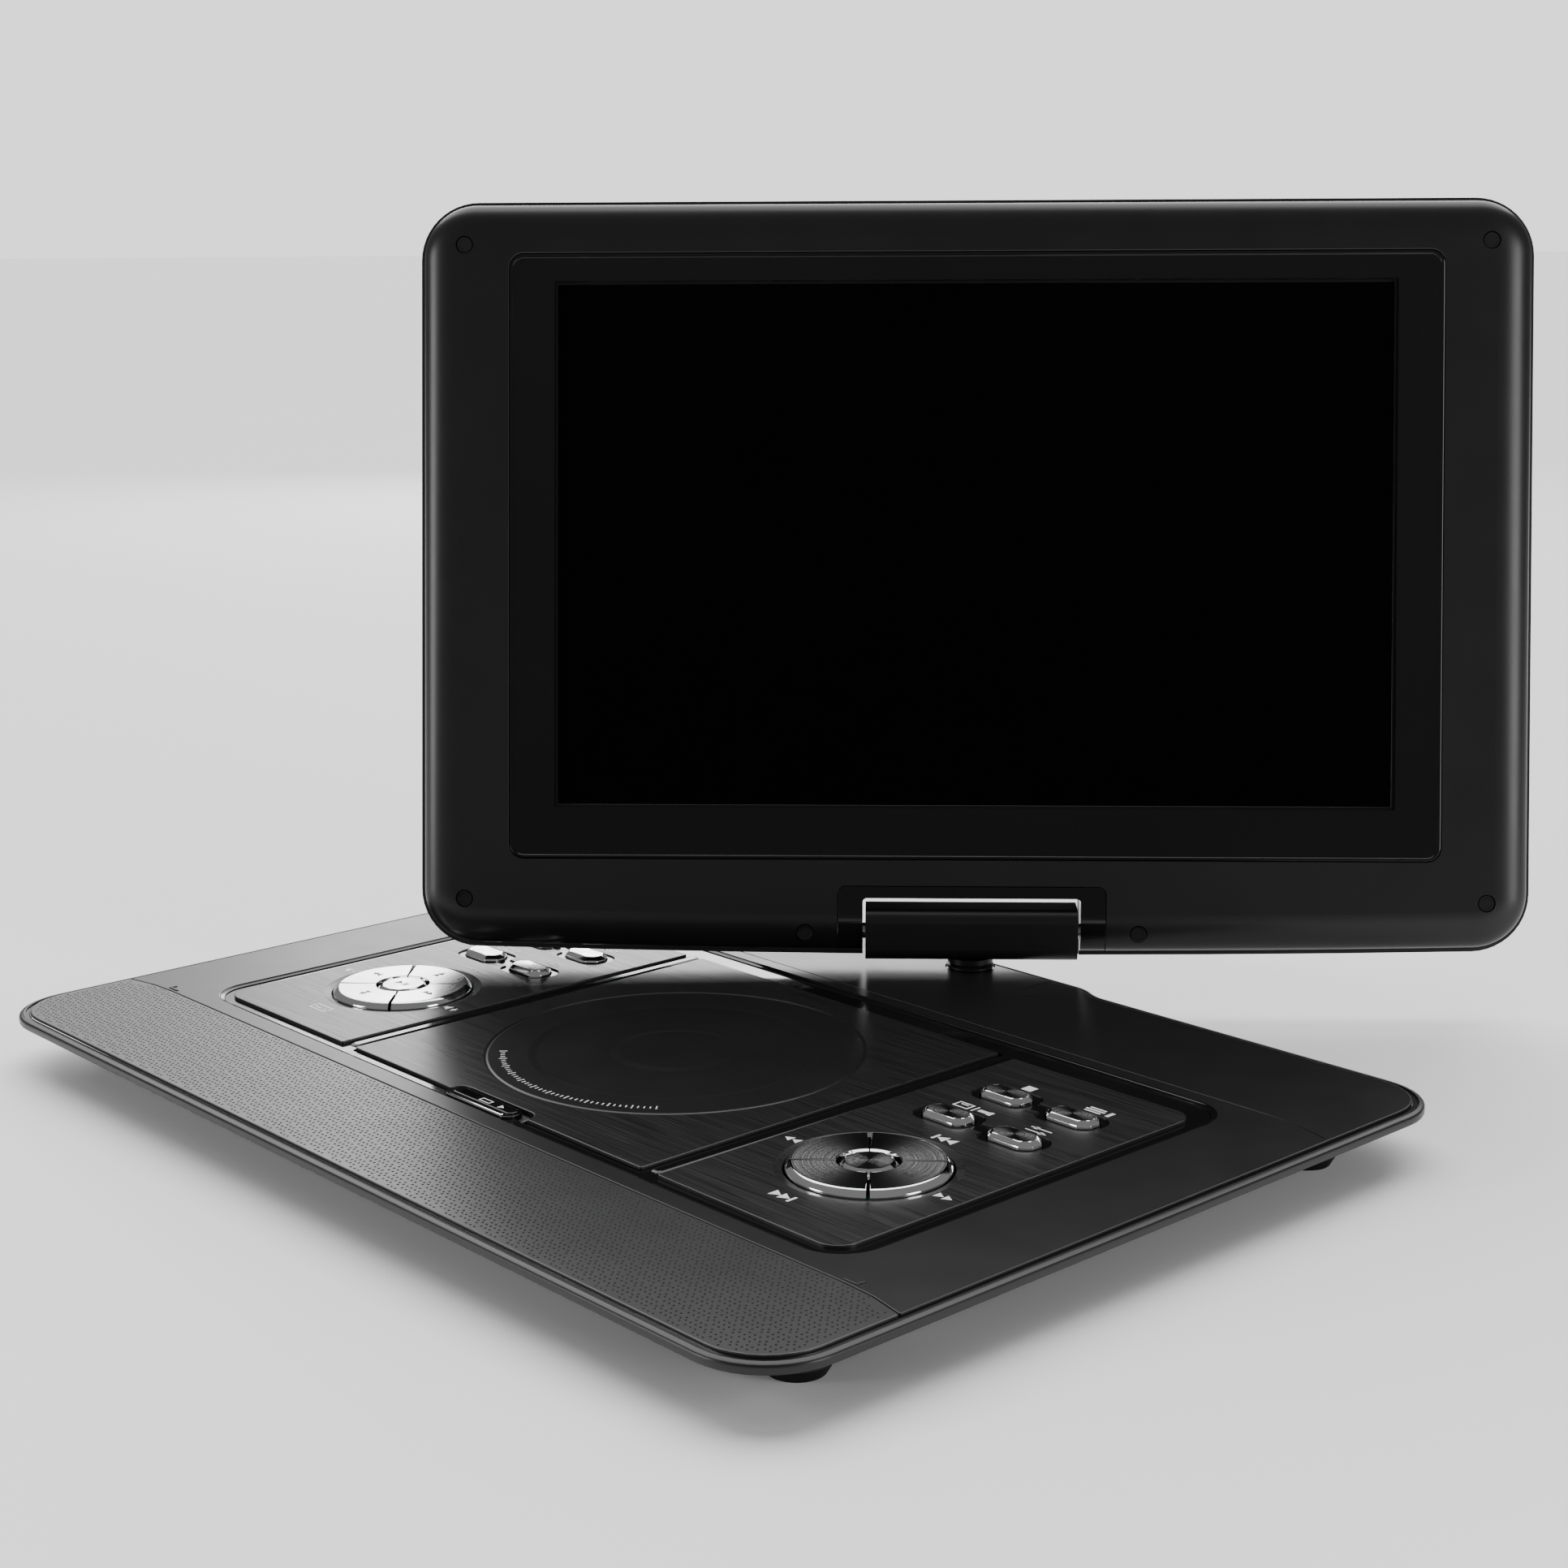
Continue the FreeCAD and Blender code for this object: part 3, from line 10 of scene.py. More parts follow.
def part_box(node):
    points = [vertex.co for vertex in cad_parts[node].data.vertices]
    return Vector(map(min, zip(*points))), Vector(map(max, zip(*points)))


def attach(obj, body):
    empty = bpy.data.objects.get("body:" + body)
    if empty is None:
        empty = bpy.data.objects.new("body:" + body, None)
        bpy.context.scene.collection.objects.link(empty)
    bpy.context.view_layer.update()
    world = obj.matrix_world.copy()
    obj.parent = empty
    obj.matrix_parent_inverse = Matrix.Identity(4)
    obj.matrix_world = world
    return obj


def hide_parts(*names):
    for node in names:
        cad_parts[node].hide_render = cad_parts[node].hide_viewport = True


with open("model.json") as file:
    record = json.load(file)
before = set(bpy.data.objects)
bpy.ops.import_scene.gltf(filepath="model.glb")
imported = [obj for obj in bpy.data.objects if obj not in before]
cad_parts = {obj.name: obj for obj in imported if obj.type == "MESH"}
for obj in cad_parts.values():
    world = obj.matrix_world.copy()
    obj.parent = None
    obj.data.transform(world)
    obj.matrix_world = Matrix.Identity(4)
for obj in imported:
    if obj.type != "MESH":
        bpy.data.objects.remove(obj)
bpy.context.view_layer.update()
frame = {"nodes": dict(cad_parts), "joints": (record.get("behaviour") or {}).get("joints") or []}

# Lengths below are in millimetres, apart from the places of camera and lights and the lights' sizes.
# MM turns millimetres into metres.
MM = 0.001

# ---------------------------------------------------------------- places from the frame


def mm_box(node):
    low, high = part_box(node)
    return low / MM, high / MM


joints = {joint["name"]: joint for joint in frame["joints"]}
tilt = joints["screen_tilt"]
head_x = -Vector(tilt["axis"]).normalized()
SWIVEL = math.atan2(head_x.y, head_x.x)
LEAN = math.radians(11.3)
HEAD = Matrix.Translation(Vector(tilt["pos_m"]) / MM) @ Matrix.Rotation(SWIVEL, 4, "Z")
SCREEN = HEAD @ Matrix.Rotation(math.pi / 2 - LEAN, 4, "X")
BASE = Matrix.Identity(4)

shell_low, shell_high = mm_box("base_top_shell")
DECK = shell_high.z
HALF_X = shell_high.x
HALF_Y = -shell_low.y
TONGUE_Y = shell_high.y
FLANGE = shell_low.z
NECK_Y = tilt["pos_m"][1] / MM
lid_low, lid_high = mm_box("disc_lid")
latch_low, latch_high = mm_box("lid_latch")
disc_y = sum(v.y for v in mm_box("turntable")) / 2

SIDES = {"left": -1, "right": 1}
KEY_LOW, KEY_TOP = (corner.z for corner in mm_box("pad_key_right_right"))
pad_low, pad_high = mm_box("centre_key_right")
PAD_X = pad_low.x / 2 + pad_high.x / 2
PAD_Y = pad_low.y / 2 + pad_high.y / 2

# ---------------------------------------------------------------- outlines


def fillet(corners, steps=6):
    """Outline through corners (x, y, radius), each corner rounded with its radius."""
    outline = []
    count = len(corners)
    for index, (x, y, radius) in enumerate(corners):
        corner = Vector((x, y))
        back = (Vector(corners[index - 1][:2]) - corner).normalized()
        on = (Vector(corners[(index + 1) % count][:2]) - corner).normalized()
        opening = back.angle(on)
        if radius <= 0 or math.pi - opening < 0.001:
            outline.append(corner)
            continue
        start = corner + back * radius / math.tan(opening / 2)
        stop = corner + on * radius / math.tan(opening / 2)
        centre = corner + (back + on).normalized() * radius / math.sin(opening / 2)
        first = start - centre
        last = stop - centre
        sweep = math.atan2(first.cross(last), first.dot(last))
        for step in range(steps + 1):
            turn = Matrix.Rotation(sweep * step / steps, 2)
            outline.append(centre + turn @ first)
    return outline


def offset(outline, inset):
    """A counter-clockwise outline moved inwards by inset, point for point."""
    moved = []
    count = len(outline)
    for index, point in enumerate(outline):
        before = (point - outline[index - 1]).normalized()
        after = (outline[(index + 1) % count] - point).normalized()
        first = Vector((-before.y, before.x))
        second = Vector((-after.y, after.x))
        moved.append(point + (first + second) * inset / (1 + first.dot(second)))
    return moved


def polar(x, y, radius, angle):
    return Vector((x + radius * math.cos(angle), y + radius * math.sin(angle)))


def circle(x, y, radius, count=64, turn=0.0):
    return [polar(x, y, radius, turn + 2 * math.pi * step / count) for step in range(count)]


def sector(radius, start, stop, count, x, y):
    """Points along an arc, both of its ends included."""
    return [polar(x, y, radius, start + (stop - start) * step / count) for step in range(count + 1)]


def rectangle(x0, x1, y0, y1, radius=0.0, steps=6):
    corners = [(x0, y0), (x1, y0), (x1, y1), (x0, y1)]
    return fillet([(x, y, radius) for x, y in corners], steps)


def mirrored(half):
    """Corners (x, y, radius) of the right half, followed by those of the left half."""
    return half + [(-x, y, radius) for x, y, radius in reversed(half)]


def moved_by(outline, x, y, turn=0.0):
    spin = Matrix.Rotation(turn, 2)
    return [spin @ Vector(point) + Vector((x, y)) for point in outline]


# ---------------------------------------------------------------- pieces


class Piece:
    """A closed mesh built up in millimetres in one of the frames BASE, HEAD and SCREEN."""

    def __init__(self):
        self.mesh = bmesh.new()

    def ring(self, outline, z):
        return [self.mesh.verts.new((point.x, point.y, z)) for point in outline]

    def wall(self, lower, upper, slot=0):
        count = len(lower)
        for index in range(count):
            following = (index + 1) % count
            corners = (lower[index], lower[following], upper[following], upper[index])
            self.mesh.faces.new(corners).material_index = slot

    def stack(self, outline, profile, slot=0):
        """Rings of the outline, one for each (inset, z) of the profile, joined by walls."""
        rings = []
        for inset, z in profile:
            rings.append(self.ring(offset(outline, inset) if inset else outline, z))
        for lower, upper in zip(rings, rings[1:]):
            self.wall(lower, upper, slot)
        return rings

    def loft(self, levels, slot=0):
        """Rings through (outline, z) levels that all have as many points, joined by walls."""
        rings = [self.ring(outline, z) for outline, z in levels]
        for lower, upper in zip(rings, rings[1:]):
            self.wall(lower, upper, slot)
        return rings

    def fill(self, outer, holes=(), slot=0):
        """A flat face between one outer ring and any number of hole rings."""
        verts = []
        edges = []
        for ring in (outer, *holes):
            first = len(verts)
            verts.extend(ring)
            for index in range(len(ring)):
                edges.append((first + index, first + (index + 1) % len(ring)))
        points = [Vector((vert.co.x, vert.co.y)) for vert in verts]
        found = delaunay_2d_cdt(points, edges, [list(range(len(outer)))], 2, 1e-6)
        if len(found[0]) != len(verts):
            raise ValueError(f"outlines cross near {[tuple(p) for p in found[0][len(verts):][:3]]}")
        origins = [origin[0] for origin in found[3]]
        for triangle in found[2]:
            corners = [verts[origins[index]] for index in triangle]
            self.mesh.faces.new(corners).material_index = slot

    def plate(self, outline, low, high, bevel=0.3, holes=(), slot=0):
        """A plate with rounded upper edges. A hole is (outline, profile from the top, floored)."""
        edge = [(0, low), (0, high - bevel)]
        edge += [(bevel * (1 - math.cos(a)), high - bevel * (1 - math.sin(a))) for a in (0.52, 1.05)]
        edge += [(bevel, high)]
        rings = self.stack(outline, edge, slot)
        above = []
        below = []
        for hole, profile, floored, *own_slot in holes:
            steps = self.stack(hole, profile, own_slot[0] if own_slot else slot)
            above.append(steps[0])
            if floored:
                self.fill(steps[-1], slot=slot)
            else:
                below.append(steps[-1])
        self.fill(rings[-1], above, slot)
        self.fill(rings[0], below, slot)

    def solid(self, outline, profile, slot=0):
        """A stack closed at both ends."""
        rings = self.stack(outline, profile, slot)
        self.fill(rings[0], slot=slot)
        self.fill(rings[-1], slot=slot)

    def mark(self, outline, z, height=0.06, slot=0):
        """A thin printed or raised shape standing on level z."""
        self.solid(outline, [(0, z - 0.02), (0, z + height)], slot)

    def make(self, name, place, body, slot, materials, replaces=(), crease=32.0):
        """Turns the mesh into an object that rides on its body."""
        bm = self.mesh
        bmesh.ops.recalc_face_normals(bm, faces=bm.faces)
        for face in bm.faces:
            face.smooth = True
        bm.normal_update()
        limit = math.radians(crease)
        for edge in bm.edges:
            if len(edge.link_faces) != 2:
                continue
            levels = [abs(face.normal.z) > 0.99999 for face in edge.link_faces]
            if levels[0] != levels[1] or edge.calc_face_angle(0) > limit:
                edge.smooth = False
        bm.transform(Matrix.Scale(MM, 4) @ place)
        data = bpy.data.meshes.new(name)
        bm.to_mesh(data)
        bm.free()
        for material in materials:
            data.materials.append(material)
        thing = bpy.data.objects.new(name, data)
        bpy.context.scene.collection.objects.link(thing)
        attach(thing, body)
        if replaces:
            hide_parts(*replaces)
        return thing


def combine(piece, other, operation):
    """The boolean of two pieces, as a new piece."""
    things = []
    for index, part in enumerate((piece, other)):
        bmesh.ops.recalc_face_normals(part.mesh, faces=part.mesh.faces)
        data = bpy.data.meshes.new(f"part_{index}")
        part.mesh.to_mesh(data)
        thing = bpy.data.objects.new(f"part_{index}", data)
        bpy.context.scene.collection.objects.link(thing)
        things.append(thing)
    cutter = things[0].modifiers.new("boolean", "BOOLEAN")
    cutter.operation = operation
    cutter.solver = "EXACT"
    cutter.object = things[1]
    graph = bpy.context.evaluated_depsgraph_get()
    done = bpy.data.meshes.new_from_object(things[0].evaluated_get(graph))
    result = Piece()
    result.mesh.from_mesh(done)
    for thing in things:
        data = thing.data
        bpy.data.objects.remove(thing)
        bpy.data.meshes.remove(data)
    bpy.data.meshes.remove(done)
    return result


# ---------------------------------------------------------------- materials


class Finish:
    """A node material. Coordinates are the object's own, in metres."""

    def __init__(self, name, colour, roughness, metallic=0.0, specular=0.5):
        self.material = bpy.data.materials.new(name)
        self.material.use_nodes = True
        self.tree = self.material.node_tree
        self.shader = self.tree.nodes["Principled BSDF"]
        self.coordinates = self.tree.nodes.new("ShaderNodeTexCoord").outputs["Object"]
        self.colour = colour
        self.roughness = roughness
        self.normal = None
        self.set("Base Color", (*colour, 1.0))
        self.set("Roughness", roughness)
        self.set("Metallic", metallic)
        self.set("Specular IOR Level", specular)

    def set(self, socket, value):
        self.shader.inputs[socket].default_value = value
        return self

    def node(self, kind, **settings):
        node = self.tree.nodes.new(kind)
        for key, value in settings.items():
            setattr(node, key, value)
        return node

    def link(self, source, target):
        self.tree.links.new(source, target)

    def stretched(self, scale, source=None):
        mapping = self.node("ShaderNodeMapping")
        mapping.inputs["Scale"].default_value = scale
        self.link(source or self.coordinates, mapping.inputs["Vector"])
        return mapping.outputs["Vector"]

    def noise(self, scale, stretch=(1, 1, 1), detail=3.0):
        noise = self.node("ShaderNodeTexNoise")
        noise.inputs["Scale"].default_value = scale
        noise.inputs["Detail"].default_value = detail
        self.link(self.stretched(stretch), noise.inputs["Vector"])
        return noise.outputs["Fac"]

    def cells(self, scale):
        cells = self.node("ShaderNodeTexVoronoi", feature="SMOOTH_F1")
        cells.inputs["Scale"].default_value = scale
        self.link(self.coordinates, cells.inputs["Vector"])
        return cells.outputs["Distance"]

    def between(self, value, low, high, start=0.3, stop=0.7):
        spread = self.node("ShaderNodeMapRange")
        ends = {"From Min": start, "From Max": stop, "To Min": low, "To Max": high}
        for socket, number in ends.items():
            spread.inputs[socket].default_value = number
        self.link(value, spread.inputs["Value"])
        return spread.outputs["Result"]

    def vary_colour(self, value, dark, light, start=0.3, stop=0.7):
        """Shades the colour from dark to light times itself with the value."""
        ramp = self.node("ShaderNodeValToRGB")
        for element, position, factor in zip(ramp.color_ramp.elements, (start, stop), (dark, light)):
            element.position = position
            element.color = (*(min(1.0, part * factor) for part in self.colour), 1.0)
        self.link(value, ramp.inputs["Fac"])
        self.link(ramp.outputs["Color"], self.shader.inputs["Base Color"])
        return self

    def vary_roughness(self, value, spread, start=0.3, stop=0.7):
        low = max(0.02, self.roughness - spread)
        result = self.between(value, low, self.roughness + spread, start, stop)
        self.link(result, self.shader.inputs["Roughness"])
        return self

    def bump(self, value, height):
        """Relief of that height in millimetres."""
        bump = self.node("ShaderNodeBump")
        bump.inputs["Strength"].default_value = 1.0
        bump.inputs["Distance"].default_value = height * MM
        self.link(value, bump.inputs["Height"])
        if self.normal:
            self.link(self.normal, bump.inputs["Normal"])
        self.normal = bump.outputs["Normal"]
        self.link(self.normal, self.shader.inputs["Normal"])
        return self


def moulded(name, colour, roughness, grain=1500.0, height=0.012, specular=0.5):
    """Moulded plastic with a fine spark-eroded grain and faint handling marks."""
    finish = Finish(name, colour, roughness, specular=specular)
    finish.vary_colour(finish.noise(35.0), 0.92, 1.08)
    finish.vary_roughness(finish.noise(60.0, detail=5.0), 0.015)
    finish.bump(finish.noise(grain, detail=2.0), height)
    finish.bump(finish.cells(grain * 0.8), height * 0.6)
    return finish.material


def brushed(name, colour, roughness, along=(0.012, 1.0, 1.0), metallic=0.0, height=0.006):
    """Surface with fine parallel brush lines."""
    finish = Finish(name, colour, roughness, metallic, 0.5 if metallic else 0.35)
    lines = finish.noise(2600.0, along, 4.0)
    finish.vary_colour(lines, 0.62, 1.5, 0.35, 0.65)
    finish.vary_roughness(lines, 0.07)
    finish.bump(lines, height)
    return finish.material


def polished(name, colour, roughness, metallic=0.0, coat=0.0, specular=0.5):
    """Polished surface with slight waviness and fine wiping marks."""
    finish = Finish(name, colour, roughness, metallic, specular)
    finish.set("Coat Weight", coat).set("Coat Roughness", 0.03)
    finish.vary_roughness(finish.noise(140.0, (1, 0.25, 1), 6.0), roughness * 0.45)
    finish.vary_colour(finish.noise(18.0), 0.9, 1.08)
    finish.bump(finish.noise(25.0, detail=1.0), 0.012)
    return finish.material


def spun(name, colour, roughness):
    """Turned metal: fine rings round the key, and a highlight that spreads across them."""
    finish = Finish(name, colour, roughness, 1.0)
    finish.set("Anisotropic", 0.8)
    tangent = finish.node("ShaderNodeTangent", direction_type="UV_MAP", uv_map="turned")
    finish.link(tangent.outputs["Tangent"], finish.shader.inputs["Tangent"])
    rings = finish.node("ShaderNodeTexNoise")
    rings.inputs["Scale"].default_value = 9.0
    rings.inputs["Detail"].default_value = 1.0
    around = finish.node("ShaderNodeUVMap", uv_map="turned").outputs["UV"]
    finish.link(finish.stretched((0.02, 5.0, 1.0), around), rings.inputs["Vector"])
    finish.vary_colour(rings.outputs["Fac"], 0.82, 1.1)
    finish.vary_roughness(rings.outputs["Fac"], 0.03)
    return finish.material


def circuit(name):
    """Solder mask with fine copper tracks showing through."""
    finish = Finish(name, (0.02, 0.13, 0.05), 0.35)
    tracks = finish.node("ShaderNodeTexBrick")
    tracks.inputs["Scale"].default_value = 260.0
    tracks.inputs["Color1"].default_value = (0.015, 0.11, 0.045, 1)
    tracks.inputs["Color2"].default_value = (0.02, 0.15, 0.06, 1)
    tracks.inputs["Mortar"].default_value = (0.04, 0.24, 0.1, 1)
    finish.link(finish.coordinates, tracks.inputs["Vector"])
    finish.link(tracks.outputs["Color"], finish.shader.inputs["Base Color"])
    finish.vary_roughness(finish.noise(300.0), 0.1)
    finish.bump(tracks.outputs["Fac"], 0.03)
    return finish.material


def floor_paint():
    finish = Finish("floor_paint", (0.93, 0.93, 0.93), 0.7, specular=0.1)
    finish.vary_colour(finish.noise(3.0), 0.995, 1.005)
    return finish.material


def clear_lens(name):
    finish = Finish(name, (0.55, 0.62, 0.85), 0.05)
    finish.set("Transmission Weight", 0.7).set("Coat Weight", 0.6)
    finish.vary_roughness(finish.noise(400.0), 0.03)
    finish.vary_colour(finish.noise(900.0), 0.8, 1.1)
    return finish.material


DECK_SATIN = moulded("deck_satin", (0.008, 0.008, 0.0083), 0.36, 1900.0, 0.006, 0.35)
CASING = moulded("casing_grain", (0.009, 0.009, 0.0093), 0.44, 1300.0, 0.016, 0.35)
BEZEL = moulded("bezel_satin", (0.0065, 0.0065, 0.0068), 0.31, 2200.0, 0.004, 0.35)
GRILLE = moulded("grille_satin", (0.015, 0.015, 0.0155), 0.4, 1700.0, 0.006)
# Lighter grey for the chamfer round each speaker pit: a painted highlight on the pit's rim, the same
# plastic as the grille
PAINTED_PIT_RIM_HIGHLIGHT = moulded("painted_pit_rim_highlight", (0.05, 0.05, 0.052), 0.35, 1700.0, 0.006)
# Near-black for the throat and floor of each speaker pit: painted shade inside the hole
PAINTED_PIT_SHADE = moulded("painted_pit_shade", (0.004, 0.004, 0.004), 0.8, 900.0, 0.01)
PLATE = brushed("brushed_plate", (0.013, 0.013, 0.0135), 0.34)
LID = brushed("brushed_lid", (0.0105, 0.0105, 0.011), 0.34)
LID_TURNED = moulded("lid_dish", (0.0095, 0.0095, 0.0098), 0.33, 2100.0, 0.004, 0.35)
GLOSS = polished("gloss_black", (0.005, 0.005, 0.0053), 0.1, specular=0.3)
CHANNEL = polished("gloss_channel", (0.006, 0.006, 0.0063), 0.12, specular=0.3)
CHROME = polished("chrome", (0.82, 0.82, 0.83), 0.07, 1.0)
SPUN = spun("spun_metal", (0.7, 0.7, 0.71), 0.22)
INK = moulded("printed_white", (0.78, 0.78, 0.78), 0.5, 2500.0, 0.003)
DARK_INK = moulded("printed_dark", (0.015, 0.015, 0.015), 0.5, 2500.0, 0.003)
HINGE = moulded("hinge_matte", (0.006, 0.006, 0.0062), 0.42, 2400.0, 0.006, 0.25)
RUBBER = moulded("rubber", (0.005, 0.005, 0.005), 0.65, 900.0, 0.03, 0.2)
DISPLAY = polished("display_glass", (0.0006, 0.0006, 0.0007), 0.14, specular=0.06)
STEEL = brushed("drawn_steel", (0.55, 0.55, 0.56), 0.28, (1, 1, 0.02), 1.0)
TRAY = moulded("tray_plastic", (0.03, 0.03, 0.031), 0.5, 1100.0, 0.02)
CONE = moulded("cone_paper", (0.035, 0.035, 0.035), 0.85, 700.0, 0.05)
WRAP = polished("battery_film", (0.2, 0.22, 0.24), 0.3)
JACK = moulded("jack_plastic", (0.02, 0.02, 0.02), 0.45, 1500.0, 0.012)
LENS = clear_lens("clear_lens")
BOARD = circuit("circuit_board")

# ---------------------------------------------------------------- base casing


def base_outline():
    """Plan of the base: rounded rectangle with a shallow rear tongue."""
    right = [(HALF_X, -HALF_Y, 24.0), (HALF_X, HALF_Y, 24.0), (54.5, HALF_Y, 14.0), (45.5, TONGUE_Y, 14.0)]
    return fillet(mirrored(right), 10)


RIM = 4.0
STRIP_LINE = -91.0
STRIP_END = -94.3
FRAME_OUTER = (163.0, -83.6, 83.2)


def strip_boundary(gap):
    """The line between the strip and the deck, from the right end to the left."""
    right = [(HALF_X - RIM, STRIP_END), (184.0, -91.7), (172.0, STRIP_LINE)]
    ends = [(x, y + gap) for x, y in right]
    return ends, [(-x, y) for x, y in reversed(ends)]


def make_rim():
    piece = Piece()
    profile = [
        (0.8, FLANGE),
        (0.2, FLANGE + 0.25),
        (0.0, FLANGE + 0.7),
        (0.0, DECK - 1.7),
        (0.1, DECK - 1.3),
        (0.35, DECK - 0.98),
        (0.75, DECK - 0.8),
        (1.75, DECK - 0.55),
        (1.95, DECK - 0.65),
        (2.1, DECK - 1.2),
        (3.4, DECK - 1.2),
        (3.6, DECK - 0.9),
        (3.6, FLANGE),
    ]
    rings = piece.stack(base_outline(), profile)
    piece.wall(rings[-1], rings[0])
    piece = combine(piece, neck_seat(), "DIFFERENCE")
    piece.make("deck_rim", BASE, "base", "deck_shell", [DECK_SATIN], ["base_top_shell"])


def neck_seat():
    """Shallow dished seat that the neck collar turns in."""
    piece = Piece()
    piece.solid(circle(0, NECK_Y, 8.8, 72), [(0, DECK - 0.7), (-0.3, DECK - 0.1), (-0.5, DECK + 4)])
    return piece


def groove(line, width):
    """Closed narrow outline along a line of points that runs in +X."""
    points = [Vector(point) for point in line]
    lower = [point - Vector((0, width / 2)) for point in points]
    upper = [point + Vector((0, width / 2)) for point in points]
    return lower + upper[::-1]


def round_hole(x, y, radii, count=64):
    """A hole with a circular wall: radii is a list of (radius, z) from the top down."""
    first = radii[0][0]
    return circle(x, y, first, count), [(first - radius, z) for radius, z in radii]


def make_deck():
    right, left = strip_boundary(0.18)
    x = HALF_X - RIM
    y = HALF_Y - RIM
    tongue = TONGUE_Y - RIM
    corners = mirrored([(*right[0], 0.6), (x, y, 20.0), (56.0, y, 14.0), (47.0, tongue, 14.0)])
    corners += [(*spot, 20.0) for spot in (left[1], left[0], right[2], right[1])]
    outline = fillet(corners, 8)
    half, front, rear = FRAME_OUTER
    well = rectangle(-half, half, front, rear, 15.0, 10)
    well_profile = [
        (-0.25, DECK),
        (-0.05, DECK - 0.08),
        (0.1, DECK - 0.3),
        (0.5, DECK - 0.55),
        (1.4, DECK - 0.62),
        (1.55, DECK - 0.7),
        (1.7, DECK - 1.05),
        (1.7, DECK - 2.0),
    ]
    neck, neck_profile = round_hole(0, NECK_Y, [(5.4, DECK), (5.4, DECK - 2.0)])
    seam_line = []
    for step in range(-24, 25):
        seam_x = 194.4 * step / 24
        bend = max(0.0, (abs(seam_x) - 168.0) / 26.4)
        seam_line.append((seam_x, 88.7 - 4.4 * bend**2))
    seam = groove(seam_line, 0.55)
    seam_profile = [(0, DECK), (0.12, DECK - 0.35), (0.2, DECK - 0.4)]
    holes = [(well, well_profile, False, 1), (neck, neck_profile, False), (seam, seam_profile, True)]
    piece = Piece()
    piece.plate(outline, DECK - 2.0, DECK, 0.35, holes)
    piece = combine(piece, neck_seat(), "DIFFERENCE")
    for side in (-1, 1):
        for x0, x1, y0, y1 in ((171.0, 176.6, -89.9, -88.8), (175.4, 176.6, -88.7, -86.8)):
            low_x, high_x = sorted((side * x0, side * x1))
            nub = rectangle(low_x, high_x, y0, y1, 0.45, 3)
            piece.solid(nub, [(0, DECK - 0.1), (0, DECK + 0.2), (0.25, DECK + 0.38)])
    piece.mark(rectangle(31.6, 32.4, NECK_Y - 6, NECK_Y + 8, 0.3, 2), DECK, 0.12)
    start, stop = math.radians(-28), math.radians(-7.2)
    arc = sector(36.4, start, stop, 8, 3, NECK_Y) + sector(35.6, stop, start, 8, 3, NECK_Y)
    piece.mark(arc, DECK, 0.12)
    piece.make("deck_panel", BASE, "base", "deck_shell", [DECK_SATIN, CHANNEL])


def pit_centres(low, high, inside):
    """Centres of the pattern: diamonds of small holes in offset rows, with pairs between them."""
    pitch_x = 9.5
    pitch_y = 5.12
    hole_pitch = 1.87
    cluster = [(i * hole_pitch, 0.0) for i in (-2, -1, 0, 1, 2)]
    cluster += [(i * hole_pitch, side * 1.75) for i in (-1, 0, 1) for side in (-1, 1)]
    cluster += [(4.75, 1.25), (4.75, -1.25)]
    centres = []
    rows = math.ceil((high.y - low.y) / pitch_y) + 1
    columns = math.ceil((high.x - low.x) / pitch_x) + 1
    for row in range(-1, rows):
        for column in range(-columns // 2, columns // 2 + 1):
            x = column * pitch_x + (row % 2) * pitch_x / 2
            y = low.y + row * pitch_y
            for dx, dy in cluster:
                if inside(x + dx, y + dy):
                    centres.append((x + dx, y + dy))
    return centres


def make_grille():
    right, left = strip_boundary(-0.18)
    x = HALF_X - RIM
    y = -HALF_Y + RIM
    corner = 20.0
    corners = [(*left[2], 0.6), (-x, y, corner), (x, y, corner), (*right[0], 0.6)]
    corners += [(*spot, 20.0) for spot in (right[1], right[2], left[0], left[1])]
    outline = fillet(corners, 8)
    margin = 1.5

    def inside(px, py):
        far_x = abs(px)
        if far_x > x - margin or py < y + margin or py > STRIP_LINE - margin:
            return False
        if far_x > 184 and py > STRIP_END - margin:
            return False
        over_x = far_x - (x - corner)
        over_y = (y + corner) - py
        return over_x < 0 or over_y < 0 or math.hypot(over_x, over_y) < corner - margin

    centres = pit_centres(Vector((-x, y)), Vector((x, STRIP_LINE)), inside)
    piece = Piece()
    low = DECK - 1.0
    bevel = [(0, low), (0, DECK - 0.3), (0.09, DECK - 0.09), (0.3, DECK)]
    rings = piece.stack(outline, bevel)
    mouths = []
    for px, py in centres:
        mouth = piece.ring(circle(px, py, 0.46, 8), DECK)
        chamfer = piece.ring(circle(px, py, 0.3, 8), DECK - 0.16)
        throat = piece.ring(circle(px, py, 0.26, 8), DECK - 0.5)
        # The chamfer ring takes the lighter grey (slot 2), a painted highlight on each pit's rim
        piece.wall(chamfer, mouth, 2)
        # Throat wall and floor take the near-black (slot 1), painted shade inside the pit
        piece.wall(throat, chamfer, 1)
        piece.mesh.faces.new(throat).material_index = 1
        mouths.append(mouth)
    piece.fill(rings[-1], mouths)
    piece.fill(rings[0])
    piece.make("speaker_strip", BASE, "base", "speaker_mesh", [GRILLE, PAINTED_PIT_SHADE, PAINTED_PIT_RIM_HIGHLIGHT], ["speaker_grille"])


# ---------------------------------------------------------------- wells, panels and keys

